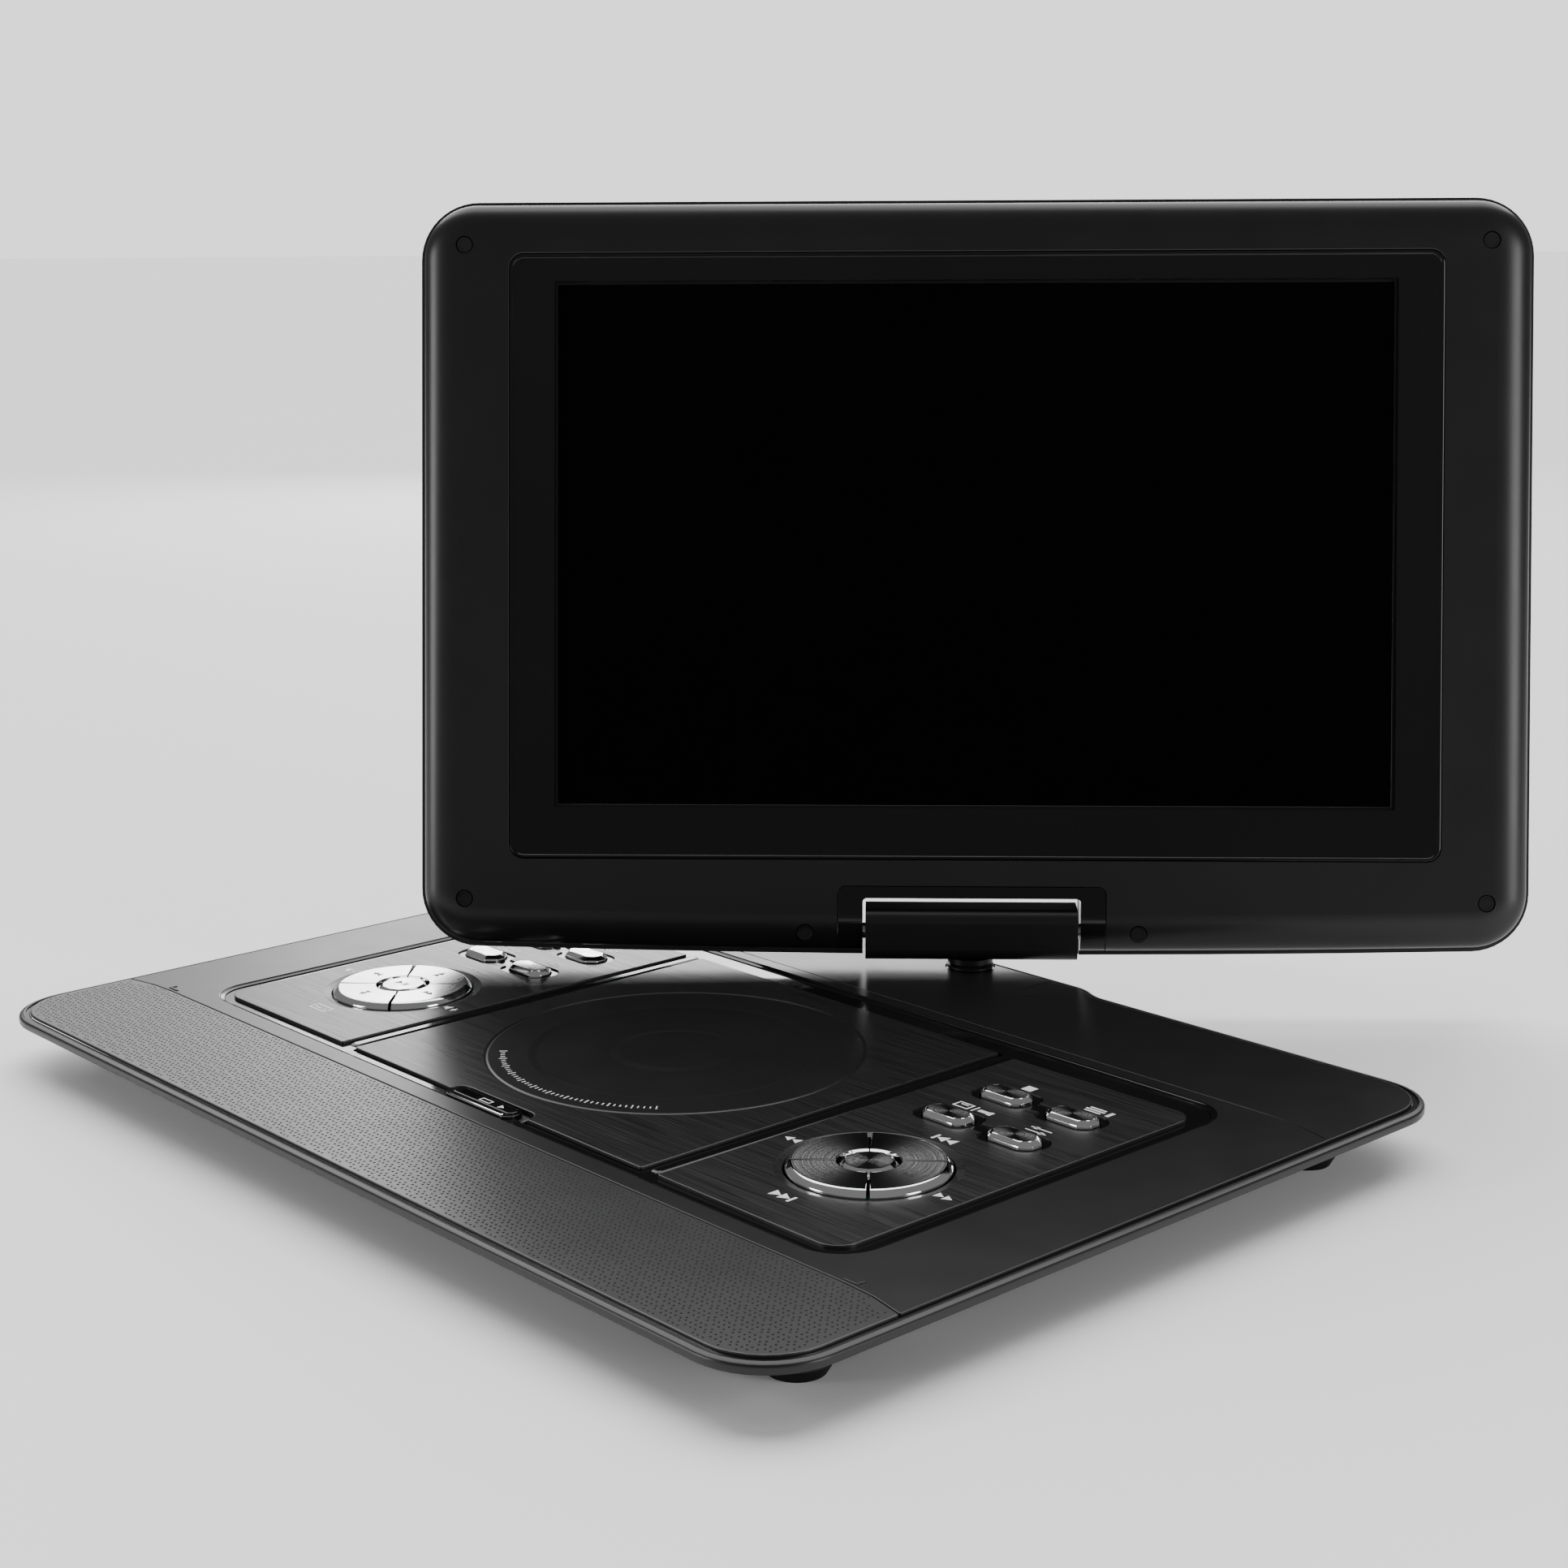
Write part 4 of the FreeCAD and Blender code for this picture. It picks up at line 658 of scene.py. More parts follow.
PILL_ROWS = [
    sum(v.y for v in mm_box(f"pill_key_right_inner_{row}")) / 2 for row in ("front", "rear")
]
PILL_COLUMNS = [
    sum(v.x for v in mm_box(f"pill_key_right_{column}_front")) / 2 for column in ("inner", "outer")
]
PILL_MID = sum(PILL_COLUMNS) / 2
PILL_HALF_X = 9.0
PILL_HALF_Y = 5.0
PILL_CUT = 3.0
PAD_RIM = 24.4
PAD_FACE = 22.6
PAD_EYE = 9.4
PAD_SLOT = math.radians(2.6)


def octagon(x, y, grow=0.0):
    half_x = PILL_HALF_X + grow
    half_y = PILL_HALF_Y + grow
    cut_x = half_x - PILL_CUT - 0.586 * grow
    cut_y = half_y - PILL_CUT - 0.586 * grow
    corners = [(half_x, -cut_y), (half_x, cut_y), (cut_x, half_y), (-cut_x, half_y)]
    corners += [(-half_x, cut_y), (-half_x, -cut_y), (-cut_x, -half_y), (cut_x, -half_y)]
    return fillet([(x + dx, y + dy, 0.35) for dx, dy in corners], 3)


def dog_bone(x, y):
    """Outline of the recess shared by two pill keys side by side."""
    half = (PILL_COLUMNS[1] - PILL_COLUMNS[0]) / 2 + PILL_HALF_X + 2.5
    deep = PILL_HALF_Y + 2.5
    waist_x, waist_y = 2.6, 2.9
    quarter = [(half, -deep, 6.0), (half, deep, 6.0), (waist_x, deep, 4.0), (waist_x, waist_y, 0.5)]
    other = [(-half, deep, 6.0), (-half, -deep, 6.0), (-waist_x, -deep, 4.0), (-waist_x, -waist_y, 0.5)]
    corners = quarter + [(-waist_x, waist_y, 0.5), (-waist_x, deep, 4.0)]
    corners += other + [(waist_x, -waist_y, 0.5), (waist_x, -deep, 4.0)]
    return fillet([(x + dx, y + dy, radius) for dx, dy, radius in corners], 5)


def make_well_floor():
    """Glossy floor of the recessed frame, seen in the channels round the lid and the panels."""
    half, front, rear = FRAME_OUTER
    floor = DECK - 1.0
    outline = rectangle(-half + 1.72, half - 1.72, front + 1.72, rear - 1.72, 13.3, 10)
    through = [(0, floor), (0, floor - 1.0)]
    window = rectangle(lid_low.x - 0.6, lid_high.x + 0.6, lid_low.y - 1.0, lid_high.y + 1.7, 1.2, 4)
    holes = [(window, through, False)]
    for side in (-1, 1):
        holes.append((circle(side * PAD_X, PAD_Y, PAD_RIM + 1.6), through, False))
        for row in PILL_ROWS:
            holes.append((dog_bone(side * PILL_MID, row), through, False))
    piece = Piece()
    piece.plate(outline, floor - 1.0, floor, 0.1, holes)
    crown = [(0, floor - 0.1), (0, floor + 0.15), (0.5, floor + 0.45), (1.2, floor + 0.6)]
    for side in (-1, 1):
        inner, outer = sorted((side * 76.1, side * 80.9))
        piece.solid(rectangle(inner, outer, lid_low.y + 1.5, lid_high.y + 1.0, 2.0, 6), crown)
    piece.make("well_frame", BASE, "base", "deck_shell", [CHANNEL])


def triangle(x, y, size, turn=0.0):
    corners = [(-0.45 * size, -0.55 * size), (0.5 * size, 0.0), (-0.45 * size, 0.55 * size)]
    return moved_by(corners, x, y, turn)


def bar(x, y, width, height):
    return rectangle(x - width / 2, x + width / 2, y - height / 2, y + height / 2)


def hollow(x, y, width, height, stroke=0.5):
    """The four bars of a rectangular frame."""
    edges = [bar(x, y + side * (height - stroke) / 2, width, stroke) for side in (-1, 1)]
    tall = height - 2 * stroke
    return edges + [bar(x + side * (width - stroke) / 2, y, stroke, tall) for side in (-1, 1)]


def loudspeaker(x, y):
    horn = [(-1.6, -0.7), (-0.7, -0.7), (0.5, -1.7), (0.5, 1.7), (-0.7, 0.7), (-1.6, 0.7)]
    return [moved_by(horn, x, y)]


def column(x, width, shrink=0.0):
    """Three bars one above the other, the outer two shorter by shrink."""
    return [bar(x, 1.3 * row, width - shrink * abs(row), 0.7) for row in (-1, 0, 1)]


ICONS = {
    "stop": [bar(0, 0, 3.4, 3.4)],
    "mode": column(0, 6.4, 1.0) + [bar(5.0, 0, 1.2, 3.3)],
    "card": hollow(-3.2, 0, 5.4, 3.6)
    + [bar(-3.2, 0.5, 2.6, 0.5), bar(1.0, 0, 0.5, 3.6), bar(4.0, 0, 3.4, 1.6), bar(6.4, 0, 1.2, 2.4)],
    "setup": [bar(0, 1.2 * side, 7.0, 0.5) for side in (1, -1)]
    + [bar(-1.6, 1.2, 1.2, 1.5), bar(1.8, -1.2, 1.2, 1.5)],
    "previous": [bar(-3.2, 0, 0.8, 3.4), triangle(-1.0, 0, 3.2, math.pi), triangle(2.1, 0, 3.2, math.pi)],
    "next": [triangle(-2.1, 0, 3.2), triangle(1.0, 0, 3.2), bar(3.2, 0, 0.8, 3.4)],
    "rewind": [triangle(-1.4, 0, 2.6, math.pi), triangle(1.4, 0, 2.6, math.pi)],
    "forward": [triangle(-1.4, 0, 2.6), triangle(1.4, 0, 2.6)],
    "menu": column(-2.4, 1.0) + column(1.0, 4.6),
    "copy": hollow(-1.3, 0.4, 4.0, 3.0) + [bar(2.0, -0.6, 2.2, 2.4)],
    "subtitle": hollow(0, 0, 8.4, 3.8) + [bar(-1.2, -0.4, 3.2, 0.5), bar(2.2, -0.4, 1.8, 0.5)],
    "enter": [bar(0, 0, 5.2, 0.7), bar(2.6, 0.9, 0.7, 1.8), triangle(-2.6, 0, 2.2, math.pi)],
    "mute": loudspeaker(-1.4, 0) + [bar(1.6, 0, 2.6, 0.6), bar(1.6, 0, 0.6, 2.6)],
    "quieter": loudspeaker(-1.0, 0) + [bar(1.6, 0, 1.8, 0.5)],
    "louder": loudspeaker(-1.0, 0)
    + [bar(1.7, 0, 1.8, 0.5), bar(1.7, 0.8, 0.5, 1.1), bar(1.7, -0.8, 0.5, 1.1)],
}
LEGEND_SIZE = 1.15
LEGENDS = {
    "right": ("card", "setup", "stop", "mode", "previous", "next", "rewind", "forward"),
    "left": ("subtitle", "copy", "menu", "enter", "mute", "subtitle", "quieter", "louder"),
}


def make_panel(name, side):
    node = f"control_panel_{name}"
    low, high = mm_box(node)
    outer = high.x if side > 0 else low.x
    corners = [(low.x, low.y), (high.x, low.y), (high.x, high.y), (low.x, high.y)]
    outline = fillet([(x, y, 7.5 if x == outer else 0.8) for x, y in corners], 8)
    top = high.z
    piece = Piece()
    rings = piece.stack(outline, [(0, low.z), (0, top - 0.25), (0.08, top - 0.08), (0.25, top)])
    dish = [(27.7, top), (27.45, top - 0.12), (25.3, top - 0.5), (25.1, top - 0.6), (25.1, low.z)]
    steps = piece.stack(*round_hole(side * PAD_X, PAD_Y, dish, 96))
    above = [steps[0]]
    below = [steps[-1]]
    recess = top - 0.55
    for row in PILL_ROWS:
        bone = dog_bone(side * PILL_MID, row)
        steps = piece.stack(bone, [(0, top), (0.12, top - 0.1), (0.5, recess)], 1)
        mouths = []
        for column_x in PILL_COLUMNS:
            hole = octagon(side * column_x, row, 0.45)
            mouth, throat = piece.stack(hole, [(0, recess), (0, low.z)], 1)
            mouths.append(mouth)
            below.append(throat)
        piece.fill(steps[-1], mouths, 1)
        above.append(steps[0])
    piece.fill(rings[-1], above)
    piece.fill(rings[0], below)
    front_row, rear_row = PILL_ROWS
    places = [(side * x, y + 10.6) for y in (front_row, rear_row) for x in PILL_COLUMNS[::side]]
    places += [(side * PAD_X, PAD_Y + 31.2), (side * PAD_X, PAD_Y - 33.6)]
    places += [(side * PAD_X - 31.0, PAD_Y - 1.5), (side * PAD_X + 31.4, PAD_Y - 1.5)]
    for kind, (x, y) in zip(LEGENDS[name], places):
        for shape in ICONS[kind]:
            piece.mark(moved_by([point * LEGEND_SIZE for point in shape], x, y), top, 0.05, 2)
    piece.make(f"key_panel_{name}", BASE, "base", "panel_plate", [PLATE, CHANNEL, INK], [node])


def add_turned_map(thing, x, y):
    """UV map whose U runs round the axis at x, y (metres) and V along the radius."""
    data = thing.data
    layer = data.uv_layers.new(name="turned")
    for face in data.polygons:
        middle = math.atan2(face.center.y - y, face.center.x - x)
        for index in face.loop_indices:
            point = data.vertices[data.loops[index].vertex_index].co
            radius = math.hypot(point.x - x, point.y - y)
            angle = math.atan2(point.y - y, point.x - x) if radius > 1e-5 else middle
            angle += 2 * math.pi * round((middle - angle) / (2 * math.pi))
            layer.data[index].uv = (angle / (2 * math.pi), radius * 40)
    return thing


def dense(outline, parts=4):
    """The same outline with every edge divided into equal parts."""
    points = []
    for index, point in enumerate(outline):
        following = outline[(index + 1) % len(outline)]
        points += [point.lerp(following, step / parts) for step in range(parts)]
    return points


def turned_top(piece, rim, x, y, slot=1):
    """Fills a rim with rings that shrink towards the axis at x, y."""
    previous = rim
    level = rim[0].co.z
    axis = Vector((x, y, level))
    for share in (0.8, 0.6, 0.4, 0.2):
        ring = [piece.mesh.verts.new(axis.lerp(vert.co, share)) for vert in rim]
        piece.wall(previous, ring, slot)
        previous = ring
    centre = piece.mesh.verts.new(axis)
    for index in range(len(previous)):
        face = piece.mesh.faces.new((previous[index - 1], previous[index], centre))
        face.material_index = slot


def make_pad_key(name, side, position, turn):
    """A quarter of the pad: spun top face, wide polished rim and dark slots at its ends."""
    x, y = side * PAD_X, PAD_Y
    count = 22
    flange = PAD_RIM + 1.0

    def quarter(inner, outer, gap):
        half_outer = math.pi / 4 - PAD_SLOT / 2 - gap / outer
        half_inner = math.pi / 4 - PAD_SLOT / 2 - gap / inner
        far = sector(outer, turn - half_outer, turn + half_outer, count, x, y)
        near = sector(inner, turn + half_inner, turn - half_inner, count, x, y)
        return far + near

    piece = Piece()
    levels = [
        (PAD_EYE, flange, 0.0, KEY_LOW),
        (PAD_EYE, flange, 0.0, KEY_LOW + 1.6),
        (PAD_EYE, PAD_RIM, 0.0, KEY_LOW + 1.8),
        (PAD_EYE, PAD_RIM, 0.0, DECK + 0.1),
        (PAD_EYE, PAD_RIM - 0.12, 0.0, DECK + 0.35),
        (PAD_EYE, PAD_FACE + 0.25, 0.0, KEY_TOP - 0.2),
        (PAD_EYE + 0.1, PAD_FACE, 0.12, KEY_TOP - 0.04),
        (PAD_EYE + 0.3, PAD_FACE - 0.25, 0.25, KEY_TOP),
    ]
    rings = piece.loft([(quarter(inner, outer, gap), z) for inner, outer, gap, z in levels])
    piece.fill(rings[0])
    top = rings[-1]
    for index in range(count):
        far, near = index, 2 * count + 1 - index
        corners = (top[far], top[far + 1], top[near - 1], top[near])
        piece.mesh.faces.new(corners).material_index = 1
    mid = (PAD_EYE + PAD_FACE) / 2
    for shift in (-1.1, 1.1):
        spot = polar(x, y, mid + shift, turn)
        piece.mark(triangle(spot.x, spot.y, 2.4, turn), KEY_TOP, 0.05, 2)
    node = f"pad_key_{name}_{position}"
    thing = piece.make(f"pad_{name}_{position}", BASE, node, "key_metal", [CHROME, SPUN, DARK_INK], [node])
    add_turned_map(thing, x * MM, y * MM)


def make_centre_key(name, side):
    x, y = side * PAD_X, PAD_Y

    def facets(inset):
        corners = circle(x, y, 8.9 - inset, 12, math.pi / 12)
        return fillet([(corner.x, corner.y, 0.3) for corner in corners], 2)

    piece = Piece()
    profile = [
        (0, KEY_LOW),
        (0, DECK + 0.4),
        (0.15, DECK + 0.65),
        (1.55, KEY_TOP - 0.2),
        (1.7, KEY_TOP - 0.04),
        (2.0, KEY_TOP),
    ]
    rings = piece.loft([(facets(inset), z) for inset, z in profile])
    piece.fill(rings[0])
    turned_top(piece, rings[-1], x, y)
    shapes = [triangle(x - 1.6, y, 2.8), bar(x + 1.0, y, 0.7, 2.6), bar(x + 2.3, y, 0.7, 2.6)]
    for shape in shapes:
        piece.mark(shape, KEY_TOP, 0.05, 2)
    node = f"centre_key_{name}"
    thing = piece.make(f"centre_{name}", BASE, node, "key_chrome", [CHROME, SPUN, DARK_INK], [node])
    add_turned_map(thing, x * MM, y * MM)


def make_pill_key(name, side, column, row):
    node = f"pill_key_{name}_{column}_{row}"
    low, high = mm_box(node)
    x, y = (low.x + high.x) / 2, (low.y + high.y) / 2
    piece = Piece()
    profile = [
        (-1.0, KEY_LOW),
        (-1.0, KEY_LOW + 1.6),
        (0, KEY_LOW + 1.8),
        (0, KEY_TOP - 1.45),
        (0.1, KEY_TOP - 1.2),
        (1.3, KEY_TOP - 0.15),
        (1.42, KEY_TOP - 0.04),
        (1.65, KEY_TOP),
    ]
    rings = piece.loft([(dense(octagon(x, y, -inset)), z) for inset, z in profile])
    piece.fill(rings[0])
    turned_top(piece, rings[-1], x, y)
    thing = piece.make(f"pill_{name}_{column}_{row}", BASE, node, "key_metal", [CHROME, SPUN], [node])
    add_turned_map(thing, x * MM, y * MM)


# ---------------------------------------------------------------- lid and latch


def make_lid():
    notch_half = 19.8
    notch_y = latch_high.y + 0.7
    dish_x = -0.5
    tick_radius = 56.6
    left, right, front, rear = lid_low.x, lid_high.x, lid_low.y, lid_high.y
    corners = [
        (right, front, 0.8),
        (right, rear, 0.8),
        (left, rear, 0.8),
        (left, front, 0.8),
        (-notch_half, front, 0.6),
        (-notch_half, notch_y, 4.0),
        (notch_half, notch_y, 4.0),
        (notch_half, front, 0.6),
    ]
    outline = fillet(corners, 6)
    piece = Piece()
    low = DECK - (lid_high.z - lid_low.z)
    rings = piece.stack(outline, [(0, low), (0, DECK - 0.3), (0.09, DECK - 0.09), (0.3, DECK)])
    turned = [
        (62.9, 0.0),
        (62.6, -0.28),
        (62.2, -0.3),
        (61.9, -0.1),
        (61.4, -0.02),
        (48.6, -0.02),
        (47.6, -0.1),
        (46.6, -0.34),
        (45.6, -0.42),
        (21.6, -0.42),
        (20.6, -0.36),
        (19.4, -0.16),
        (18.2, -0.1),
    ]
    levels = piece.loft([(circle(dish_x, disc_y, radius, 128), DECK + z) for radius, z in turned], 1)
    piece.fill(rings[-1], [levels[0]])
    piece.fill(levels[-1], slot=1)
    piece.fill(rings[0])
    start, stop = math.radians(229), math.radians(314)
    ticks = 44
    for step in range(ticks + 1):
        angle = start + (stop - start) * step / ticks
        tick = bar(0, 0, 1.5 if step % 4 else 2.6, 0.42)
        spot = polar(dish_x, disc_y, tick_radius, angle)
        piece.mark(moved_by(tick, spot.x, spot.y, angle), DECK - 0.02, 0.05, 2)
    piece.make("lid_plate", BASE, "lid", "lid_plate", [LID, LID_TURNED, INK], ["disc_lid"])


def make_latch():
    low, high = latch_low, latch_high
    mid_y = (low.y + high.y) / 2
    outline = rectangle(low.x, high.x, low.y, high.y, 3.6, 8)
    top = high.z
    piece = Piece()
    piece.plate(outline, low.z, top - 0.45, 0.35)
    raised = rectangle(low.x + 2.2, high.x - 1.6, low.y + 2.4, high.y - 0.9, 1.8, 5)
    piece.solid(raised, [(0, top - 0.6), (0, top - 0.2), (0.15, top - 0.06), (0.4, top)])
    strip = rectangle(low.x + 3.4, high.x - 3.4, low.y + 0.7, low.y + 2.1, 0.6, 4)
    piece.solid(strip, [(0, top - 0.6), (0, top - 0.35), (0.2, top - 0.2)], 1)
    for rib in range(5):
        x = low.x + 6.0 + 1.5 * rib
        shape = rectangle(x - 0.3, x + 0.3, mid_y - 1.4, mid_y + 2.2, 0.25, 2)
        piece.solid(shape, [(0, top - 0.1), (0.02, top), (0.12, top)], 1)
    symbol = hollow(low.x + 18.0, mid_y + 0.4, 5.4, 2.2, 0.4)
    for shape in symbol + [triangle(low.x + 26.0, mid_y + 0.4, 2.2)]:
        piece.mark(shape, top, 0.04, 2)
    piece.make("latch_slider", BASE, "latch", "latch_plastic", [GLOSS, CHROME, INK], ["lid_latch"])


# ---------------------------------------------------------------- screen


def screen_box(node):
    """Lowest and highest corners of a node in the screen's own frame."""
    inward = SCREEN.inverted()
    spots = [inward @ (vert.co / MM) for vert in frame["nodes"][node].data.vertices]
    low = Vector([min(spot[axis] for spot in spots) for axis in range(3)])
    high = Vector([max(spot[axis] for spot in spots) for axis in range(3)])
    return low, high


case_low, case_high = screen_box("screen_back_cover")
CASE_HALF = case_high.x
CASE_TOP = case_high.y
CASE_LOW = case_low.y
CASE_RISE = 2.6
CASE_CORNER = 21.0
FRONT = screen_box("screen_bezel")[1].z
PARTING = 1.6
lcd_low, lcd_high = screen_box("lcd_panel")
LCD_Y = (lcd_low.y + lcd_high.y) / 2
LCD_HALF_X = 151.0
LCD_HALF_Y = 94.9
trim_low, trim_high = screen_box("lcd_surround")
TRIM_HALF = trim_high.x
TRIM_TOP = trim_high.y
TRIM_LOW = trim_low.y
cheek_high = screen_box("hinge_escutcheon")[1]
CHEEK_HALF = cheek_high.x
CHEEK_TOP = cheek_high.y
NOTCH_HALF = 39.2
NOTCH_TOP = 12.1
PLUGS = [(sx * 183.5, y) for sx in (-1, 1) for y in (247.3, 11.3)] + [(sx * 60.0, -0.5) for sx in (-1, 1)]


def casing_outline(steps=14):
    """Outline of the screen: straight sides and top, and a bottom edge in one shallow arc."""
    corners = [(CASE_HALF, CASE_LOW + CASE_RISE, CASE_CORNER), (CASE_HALF, CASE_TOP, CASE_CORNER)]
    corners += [(-CASE_HALF, CASE_TOP, CASE_CORNER), (-CASE_HALF, CASE_LOW + CASE_RISE, CASE_CORNER)]
    for step in range(-6, 7):
        x = 160.0 * step / 6
        corners.append((x, CASE_LOW + CASE_RISE * (x / CASE_HALF) ** 2, 0.0))
    return fillet(corners, steps)


def prism(outline, low, high):
    piece = Piece()
    piece.solid(outline, [(0, low), (0, high)])
    return piece


def crowned_front():
    """Front shell as a closed solid: steep at the parting line, easing into a flat face."""
    outline = casing_outline()
    reach = 13.0
    rise = 6.6
    profile = [(PARTING, FRONT - 8.4)]
    steps = 14
    for step in range(steps + 1):
        angle = math.pi / 2 * step / steps
        profile.append((PARTING + reach * (1 - math.cos(angle)), FRONT - rise * (1 - math.sin(angle))))
    piece = Piece()
    rings = piece.stack(outline, profile)
    opening = rectangle(-TRIM_HALF - 0.25, TRIM_HALF + 0.25, TRIM_LOW - 0.25, TRIM_TOP + 0.25, 5.2, 8)
    wall = piece.stack(opening, [(-0.3, FRONT), (-0.06, FRONT - 0.1), (0, FRONT - 0.3), (0, FRONT - 8.4)])
    piece.fill(rings[-1], [wall[0]])
    piece.fill(rings[0], [wall[-1]])
    return piece


def make_screen_front():
    below = -20.0
    cheek = fillet(mirrored([(CHEEK_HALF, below, 0), (CHEEK_HALF, CHEEK_TOP, 3.0)]))
    bezel = combine(crowned_front(), prism(cheek, -12, 20), "DIFFERENCE")
    for x, y in PLUGS:
        bezel = combine(bezel, prism(circle(x, y, 3.15, 40), FRONT - 3.2, 20), "DIFFERENCE")
    bezel.make("screen_front", SCREEN, "screen", "bezel", [BEZEL], ["screen_bezel"], 24.0)

    gap = 0.3
    notch = 1.5
    corners = mirrored([(CHEEK_HALF - gap, below, 0), (CHEEK_HALF - gap, CHEEK_TOP - gap, 2.7)])
    corners += reversed(mirrored([(NOTCH_HALF, below, 0), (NOTCH_HALF, NOTCH_TOP, notch)]))
    bracket = fillet(corners)
    trim = combine(crowned_front(), prism(bracket, -12, 20), "INTERSECT")
    trim.make("hinge_trim", SCREEN, "screen", "gloss_trim", [GLOSS], ["hinge_escutcheon"], 24.0)


def make_surround():
    """Glossy frame round the picture: raised lip, groove, and mitred faces that slope inwards."""
    piece = Piece()
    outer = rectangle(-TRIM_HALF, TRIM_HALF, TRIM_LOW, TRIM_TOP, 5.0, 8)
    lip = [(0, 5.0), (0, 0.25), (0.08, 0.07), (0.3, 0.0), (1.0, 0.05), (1.25, 0.35)]
    levels = [(offset(outer, inset) if inset else outer, FRONT - depth) for inset, depth in lip]
    border = (-TRIM_HALF + 1.5, TRIM_HALF - 1.5, TRIM_LOW + 1.5, TRIM_TOP - 1.5)
    picture = (-LCD_HALF_X, LCD_HALF_X, LCD_Y - LCD_HALF_Y, LCD_Y + LCD_HALF_Y)
    steps = [(border, 3.4, 0.42), (picture, 0.35, 1.35), (picture, 0.3, 3.3), (picture, 0.3, 5.0)]
    levels += [(rectangle(*sides, radius, 8), FRONT - depth) for sides, radius, depth in steps]
    rings = piece.loft(levels)
    piece.fill(rings[0], [rings[-1]])
    piece.make("picture_surround", SCREEN, "screen", "gloss_trim", [GLOSS], ["lcd_surround"], 8.0)

    def pane(grow):
        half_x, half_y = LCD_HALF_X + grow, LCD_HALF_Y + grow
        return rectangle(-half_x, half_x, LCD_Y - half_y, LCD_Y + half_y)

    glass = Piece()
    high = FRONT - 3.4
    rings = glass.stack(pane(2.0), [(0, FRONT - 5.6), (0, high - 0.2), (0.2, high)])
    active = glass.stack(pane(-1.0), [(0, high), (0.05, high - 0.05)])
    glass.fill(rings[0])
    glass.fill(rings[-1], [active[0]])
    glass.fill(active[-1], slot=1)
    glass.make("picture_glass", SCREEN, "screen", "display", [GLOSS, DISPLAY], ["lcd_panel"])


def make_plugs():
    piece = Piece()
    for x, y in PLUGS:
        outer = abs(y + 0.5) > 1
        top = FRONT - 0.35 if outer else FRONT - 1.05
        profile = [(0, top - 1.8), (0, top - 0.2), (0.2, top), (0.8, top - 0.02), (1.0, top - 0.25)]
        piece.solid(circle(x, y, 2.9, 40), profile)
    piece.make("plugs", SCREEN, "screen", "plug_rubber", [RUBBER], ["screen_screw_plugs"])


# ---------------------------------------------------------------- carried-over nodes

KEPT = (
    (CASING, "base_bottom_cover screen_back_cover"),
    (RUBBER, "rubber_feet"),
    (TRAY, "loader_tray lid_carrier swivel_bush"),
    (BOARD, "main_board key_boards driver_board"),
    (WRAP, "battery_pack"),
    (CONE, "speaker_left speaker_right"),
    (STEEL, "base_screws spindle_motor sled_motor guide_rods lead_screw latch_spring"),
    (STEEL, "tilt_pins tilt_brackets swivel_shaft usb_port card_slot"),
    (JACK, "dc_jack audio_jacks power_switch laser_sled turntable"),
    (LENS, "laser_lens"),
    (HINGE, "hinge_block neck_collar"),
)


def dress_kept_nodes():
    """Gives the nodes kept from the CAD their materials, through their own slots."""
    for material, names in KEPT:
        for name in names.split():
            thing = frame["nodes"][name]
            if not thing.material_slots:
                thing.data.materials.append(material)
            for place in thing.material_slots:
                place.link = "OBJECT"
                place.material = material


# ---------------------------------------------------------------- studio


# Camera fitted to the photo: place in metres, angles in radians, lens in millimetres.
CAMERA_PLACE = (0.6088, -0.5074, 0.2834)
CAMERA_YAW, CAMERA_PITCH, CAMERA_ROLL = 0.833, 0.218, 0.005
CAMERA_LENS = 57.97
CAMERA_SENSOR = 36.0
FLOOR_RADIUS = 25000.0
SKY_LIGHT = 0.2
SKY_SEEN = 1.65


def make_camera():
    level = Vector((math.cos(CAMERA_YAW), math.sin(CAMERA_YAW), 0.0))
    ahead = Vector((-level.y, level.x, 0.0)) * math.cos(CAMERA_PITCH)
    forward = ahead - Vector((0, 0, math.sin(CAMERA_PITCH)))
    down = forward.cross(level)
    right = math.cos(CAMERA_ROLL) * level + math.sin(CAMERA_ROLL) * down
    up = right.cross(forward)
    turn = Matrix((right, up, -forward)).transposed().to_4x4()
    data = bpy.data.cameras.new("camera")
    data.sensor_width = CAMERA_SENSOR
    data.lens = CAMERA_LENS
    data.clip_start = 0.02
    data.clip_end = 60.0
    camera = bpy.data.objects.new("camera", data)
    camera.matrix_world = Matrix.Translation(CAMERA_PLACE) @ turn
    bpy.context.scene.collection.objects.link(camera)
    bpy.context.scene.camera = camera


def make_light(name, place, target, width, height, power):
    data = bpy.data.lights.new(name, "AREA")
    data.shape = "RECTANGLE"
    data.size = width
    data.size_y = height
    data.energy = power
    light = bpy.data.objects.new(name, data)
    aim = (Vector(target) - Vector(place)).to_track_quat("-Z", "Y")
    light.matrix_world = Matrix.Translation(place) @ aim.to_matrix().to_4x4()
    bpy.context.scene.collection.objects.link(light)


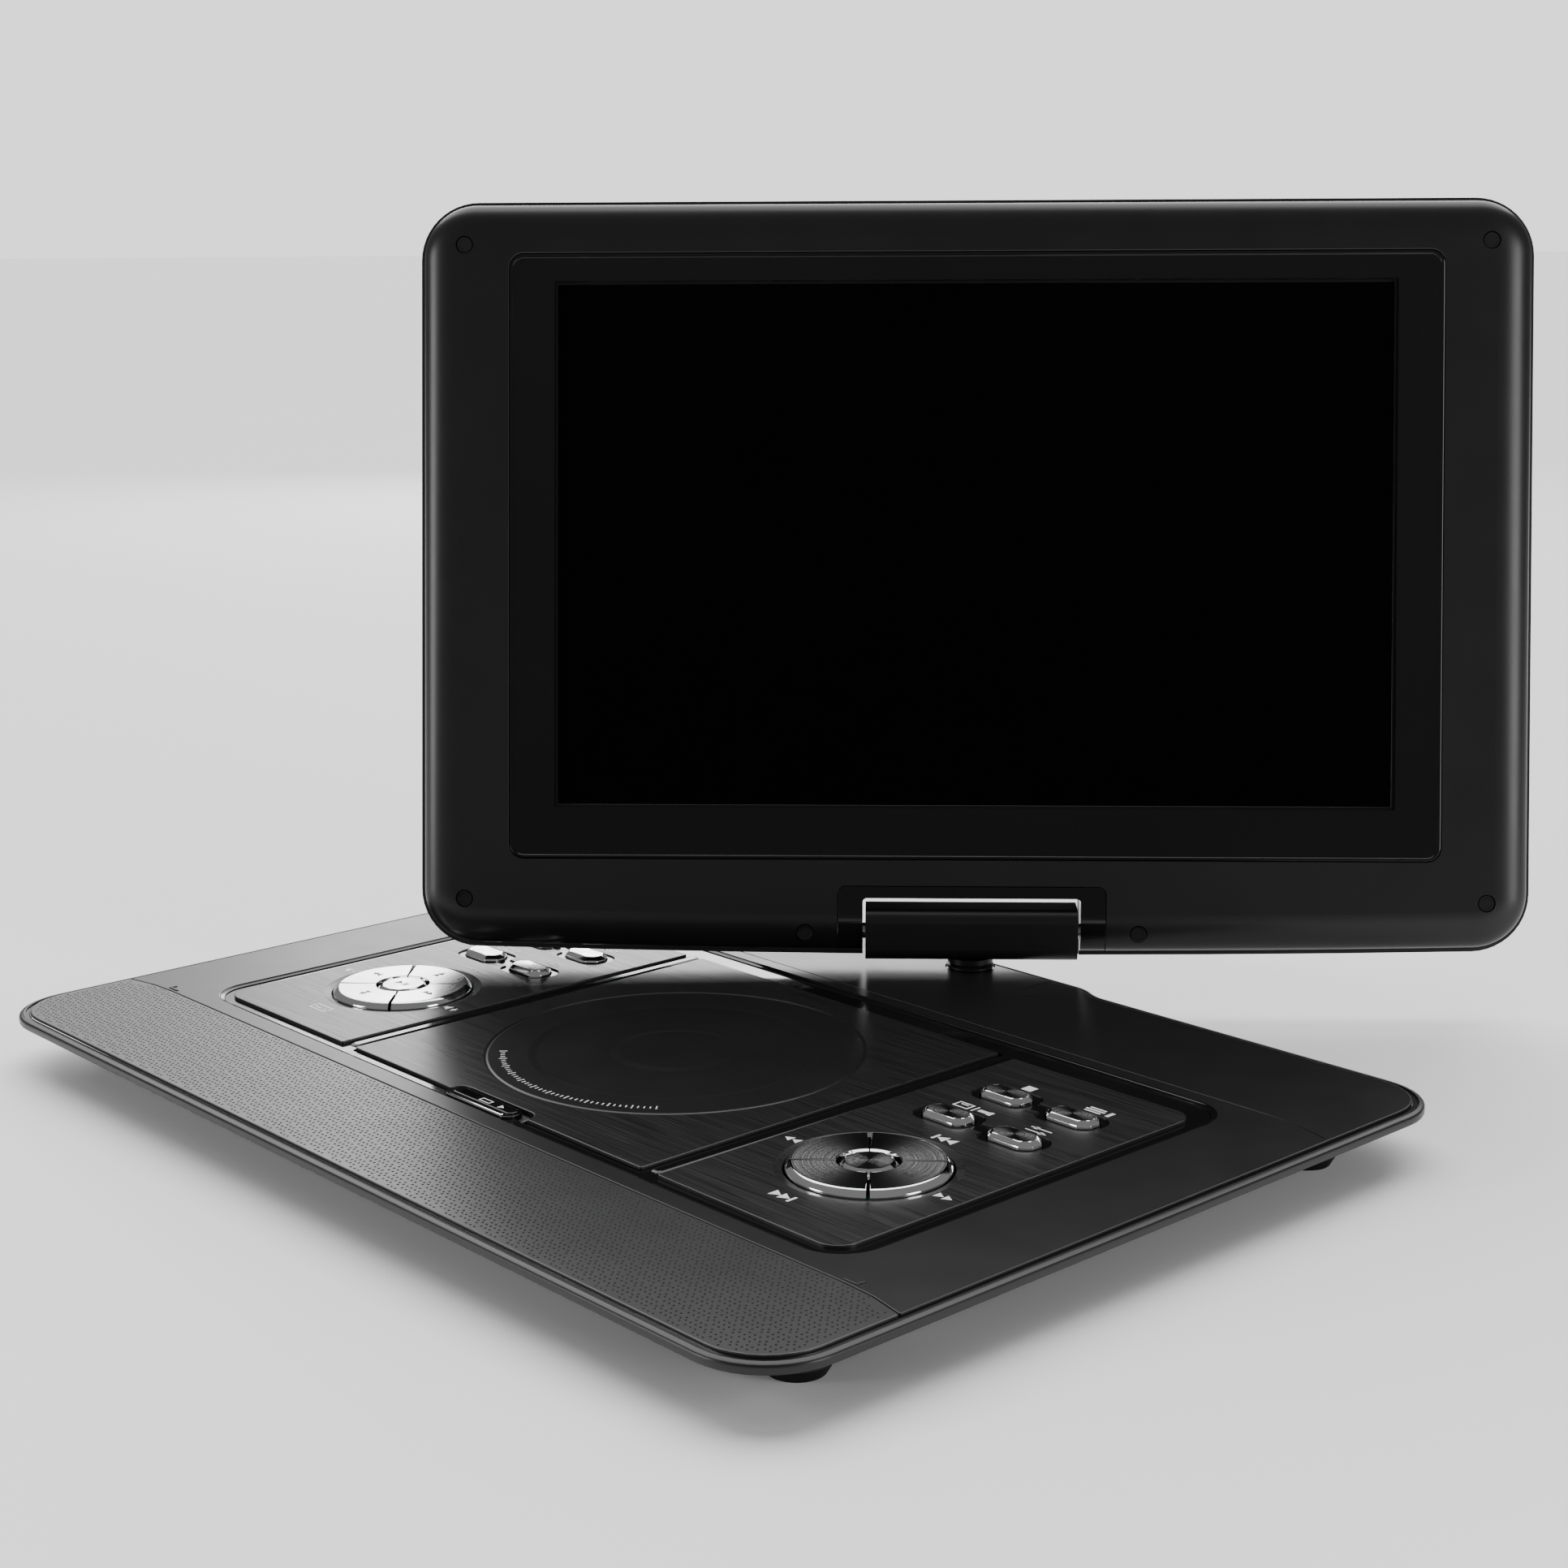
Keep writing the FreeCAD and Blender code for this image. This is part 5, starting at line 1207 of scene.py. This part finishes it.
def make_studio():
    bm = prism(circle(0, 0, FLOOR_RADIUS, 96), -40.0, 0.0).mesh
    bmesh.ops.recalc_face_normals(bm, faces=bm.faces)
    bm.transform(Matrix.Scale(MM, 4))
    data = bpy.data.meshes.new("studio_floor")
    bm.to_mesh(data)
    bm.free()
    data.materials.append(floor_paint())
    thing = bpy.data.objects.new("studio_floor", data)
    bpy.context.scene.collection.objects.link(thing)
    world = bpy.data.worlds.new("studio")
    world.use_nodes = True
    tree = world.node_tree
    seen = tree.nodes.new("ShaderNodeLightPath").outputs["Is Camera Ray"]
    strength = tree.nodes.new("ShaderNodeMapRange")
    strength.inputs["To Min"].default_value = SKY_LIGHT
    strength.inputs["To Max"].default_value = SKY_SEEN
    tree.links.new(seen, strength.inputs["Value"])
    background = tree.nodes["Background"]
    background.inputs["Color"].default_value = (1.0, 1.0, 1.0, 1.0)
    tree.links.new(strength.outputs["Result"], background.inputs["Strength"])
    bpy.context.scene.world = world
    overhead = bpy.data.lights.new("overhead", "SUN")
    overhead.energy = 5.0
    overhead.angle = math.radians(80)
    lamp = bpy.data.objects.new("overhead", overhead)
    lamp.rotation_euler = Vector((-0.42, 0.38, 0.82)).to_track_quat("Z", "Y").to_euler()
    bpy.context.scene.collection.objects.link(lamp)
    make_light("left_light", (-0.75, -1.5, 0.5), (0, 0.1, 0.15), 0.5, 0.9, 14.0)
    make_light("back_light", (-1.6, 1.3, 0.6), (-0.1, 0, 0.02), 0.9, 0.5, 8.0)
    make_light("right_light", (1.6, 0.45, 0.5), (0.05, 0.1, 0.15), 0.5, 0.9, 12.0)


# ---------------------------------------------------------------- everything

make_rim()
make_deck()
make_grille()
make_well_floor()
for side_name, side_sign in SIDES.items():
    make_panel(side_name, side_sign)
    for key_position, quarter_turn in (("right", 0), ("rear", 1), ("left", 2), ("front", 3)):
        make_pad_key(side_name, side_sign, key_position, quarter_turn * math.pi / 2)
    make_centre_key(side_name, side_sign)
    for key_column in ("inner", "outer"):
        for key_row in ("front", "rear"):
            make_pill_key(side_name, side_sign, key_column, key_row)
make_lid()
make_latch()
make_screen_front()
make_surround()
make_plugs()
dress_kept_nodes()
make_camera()
make_studio()
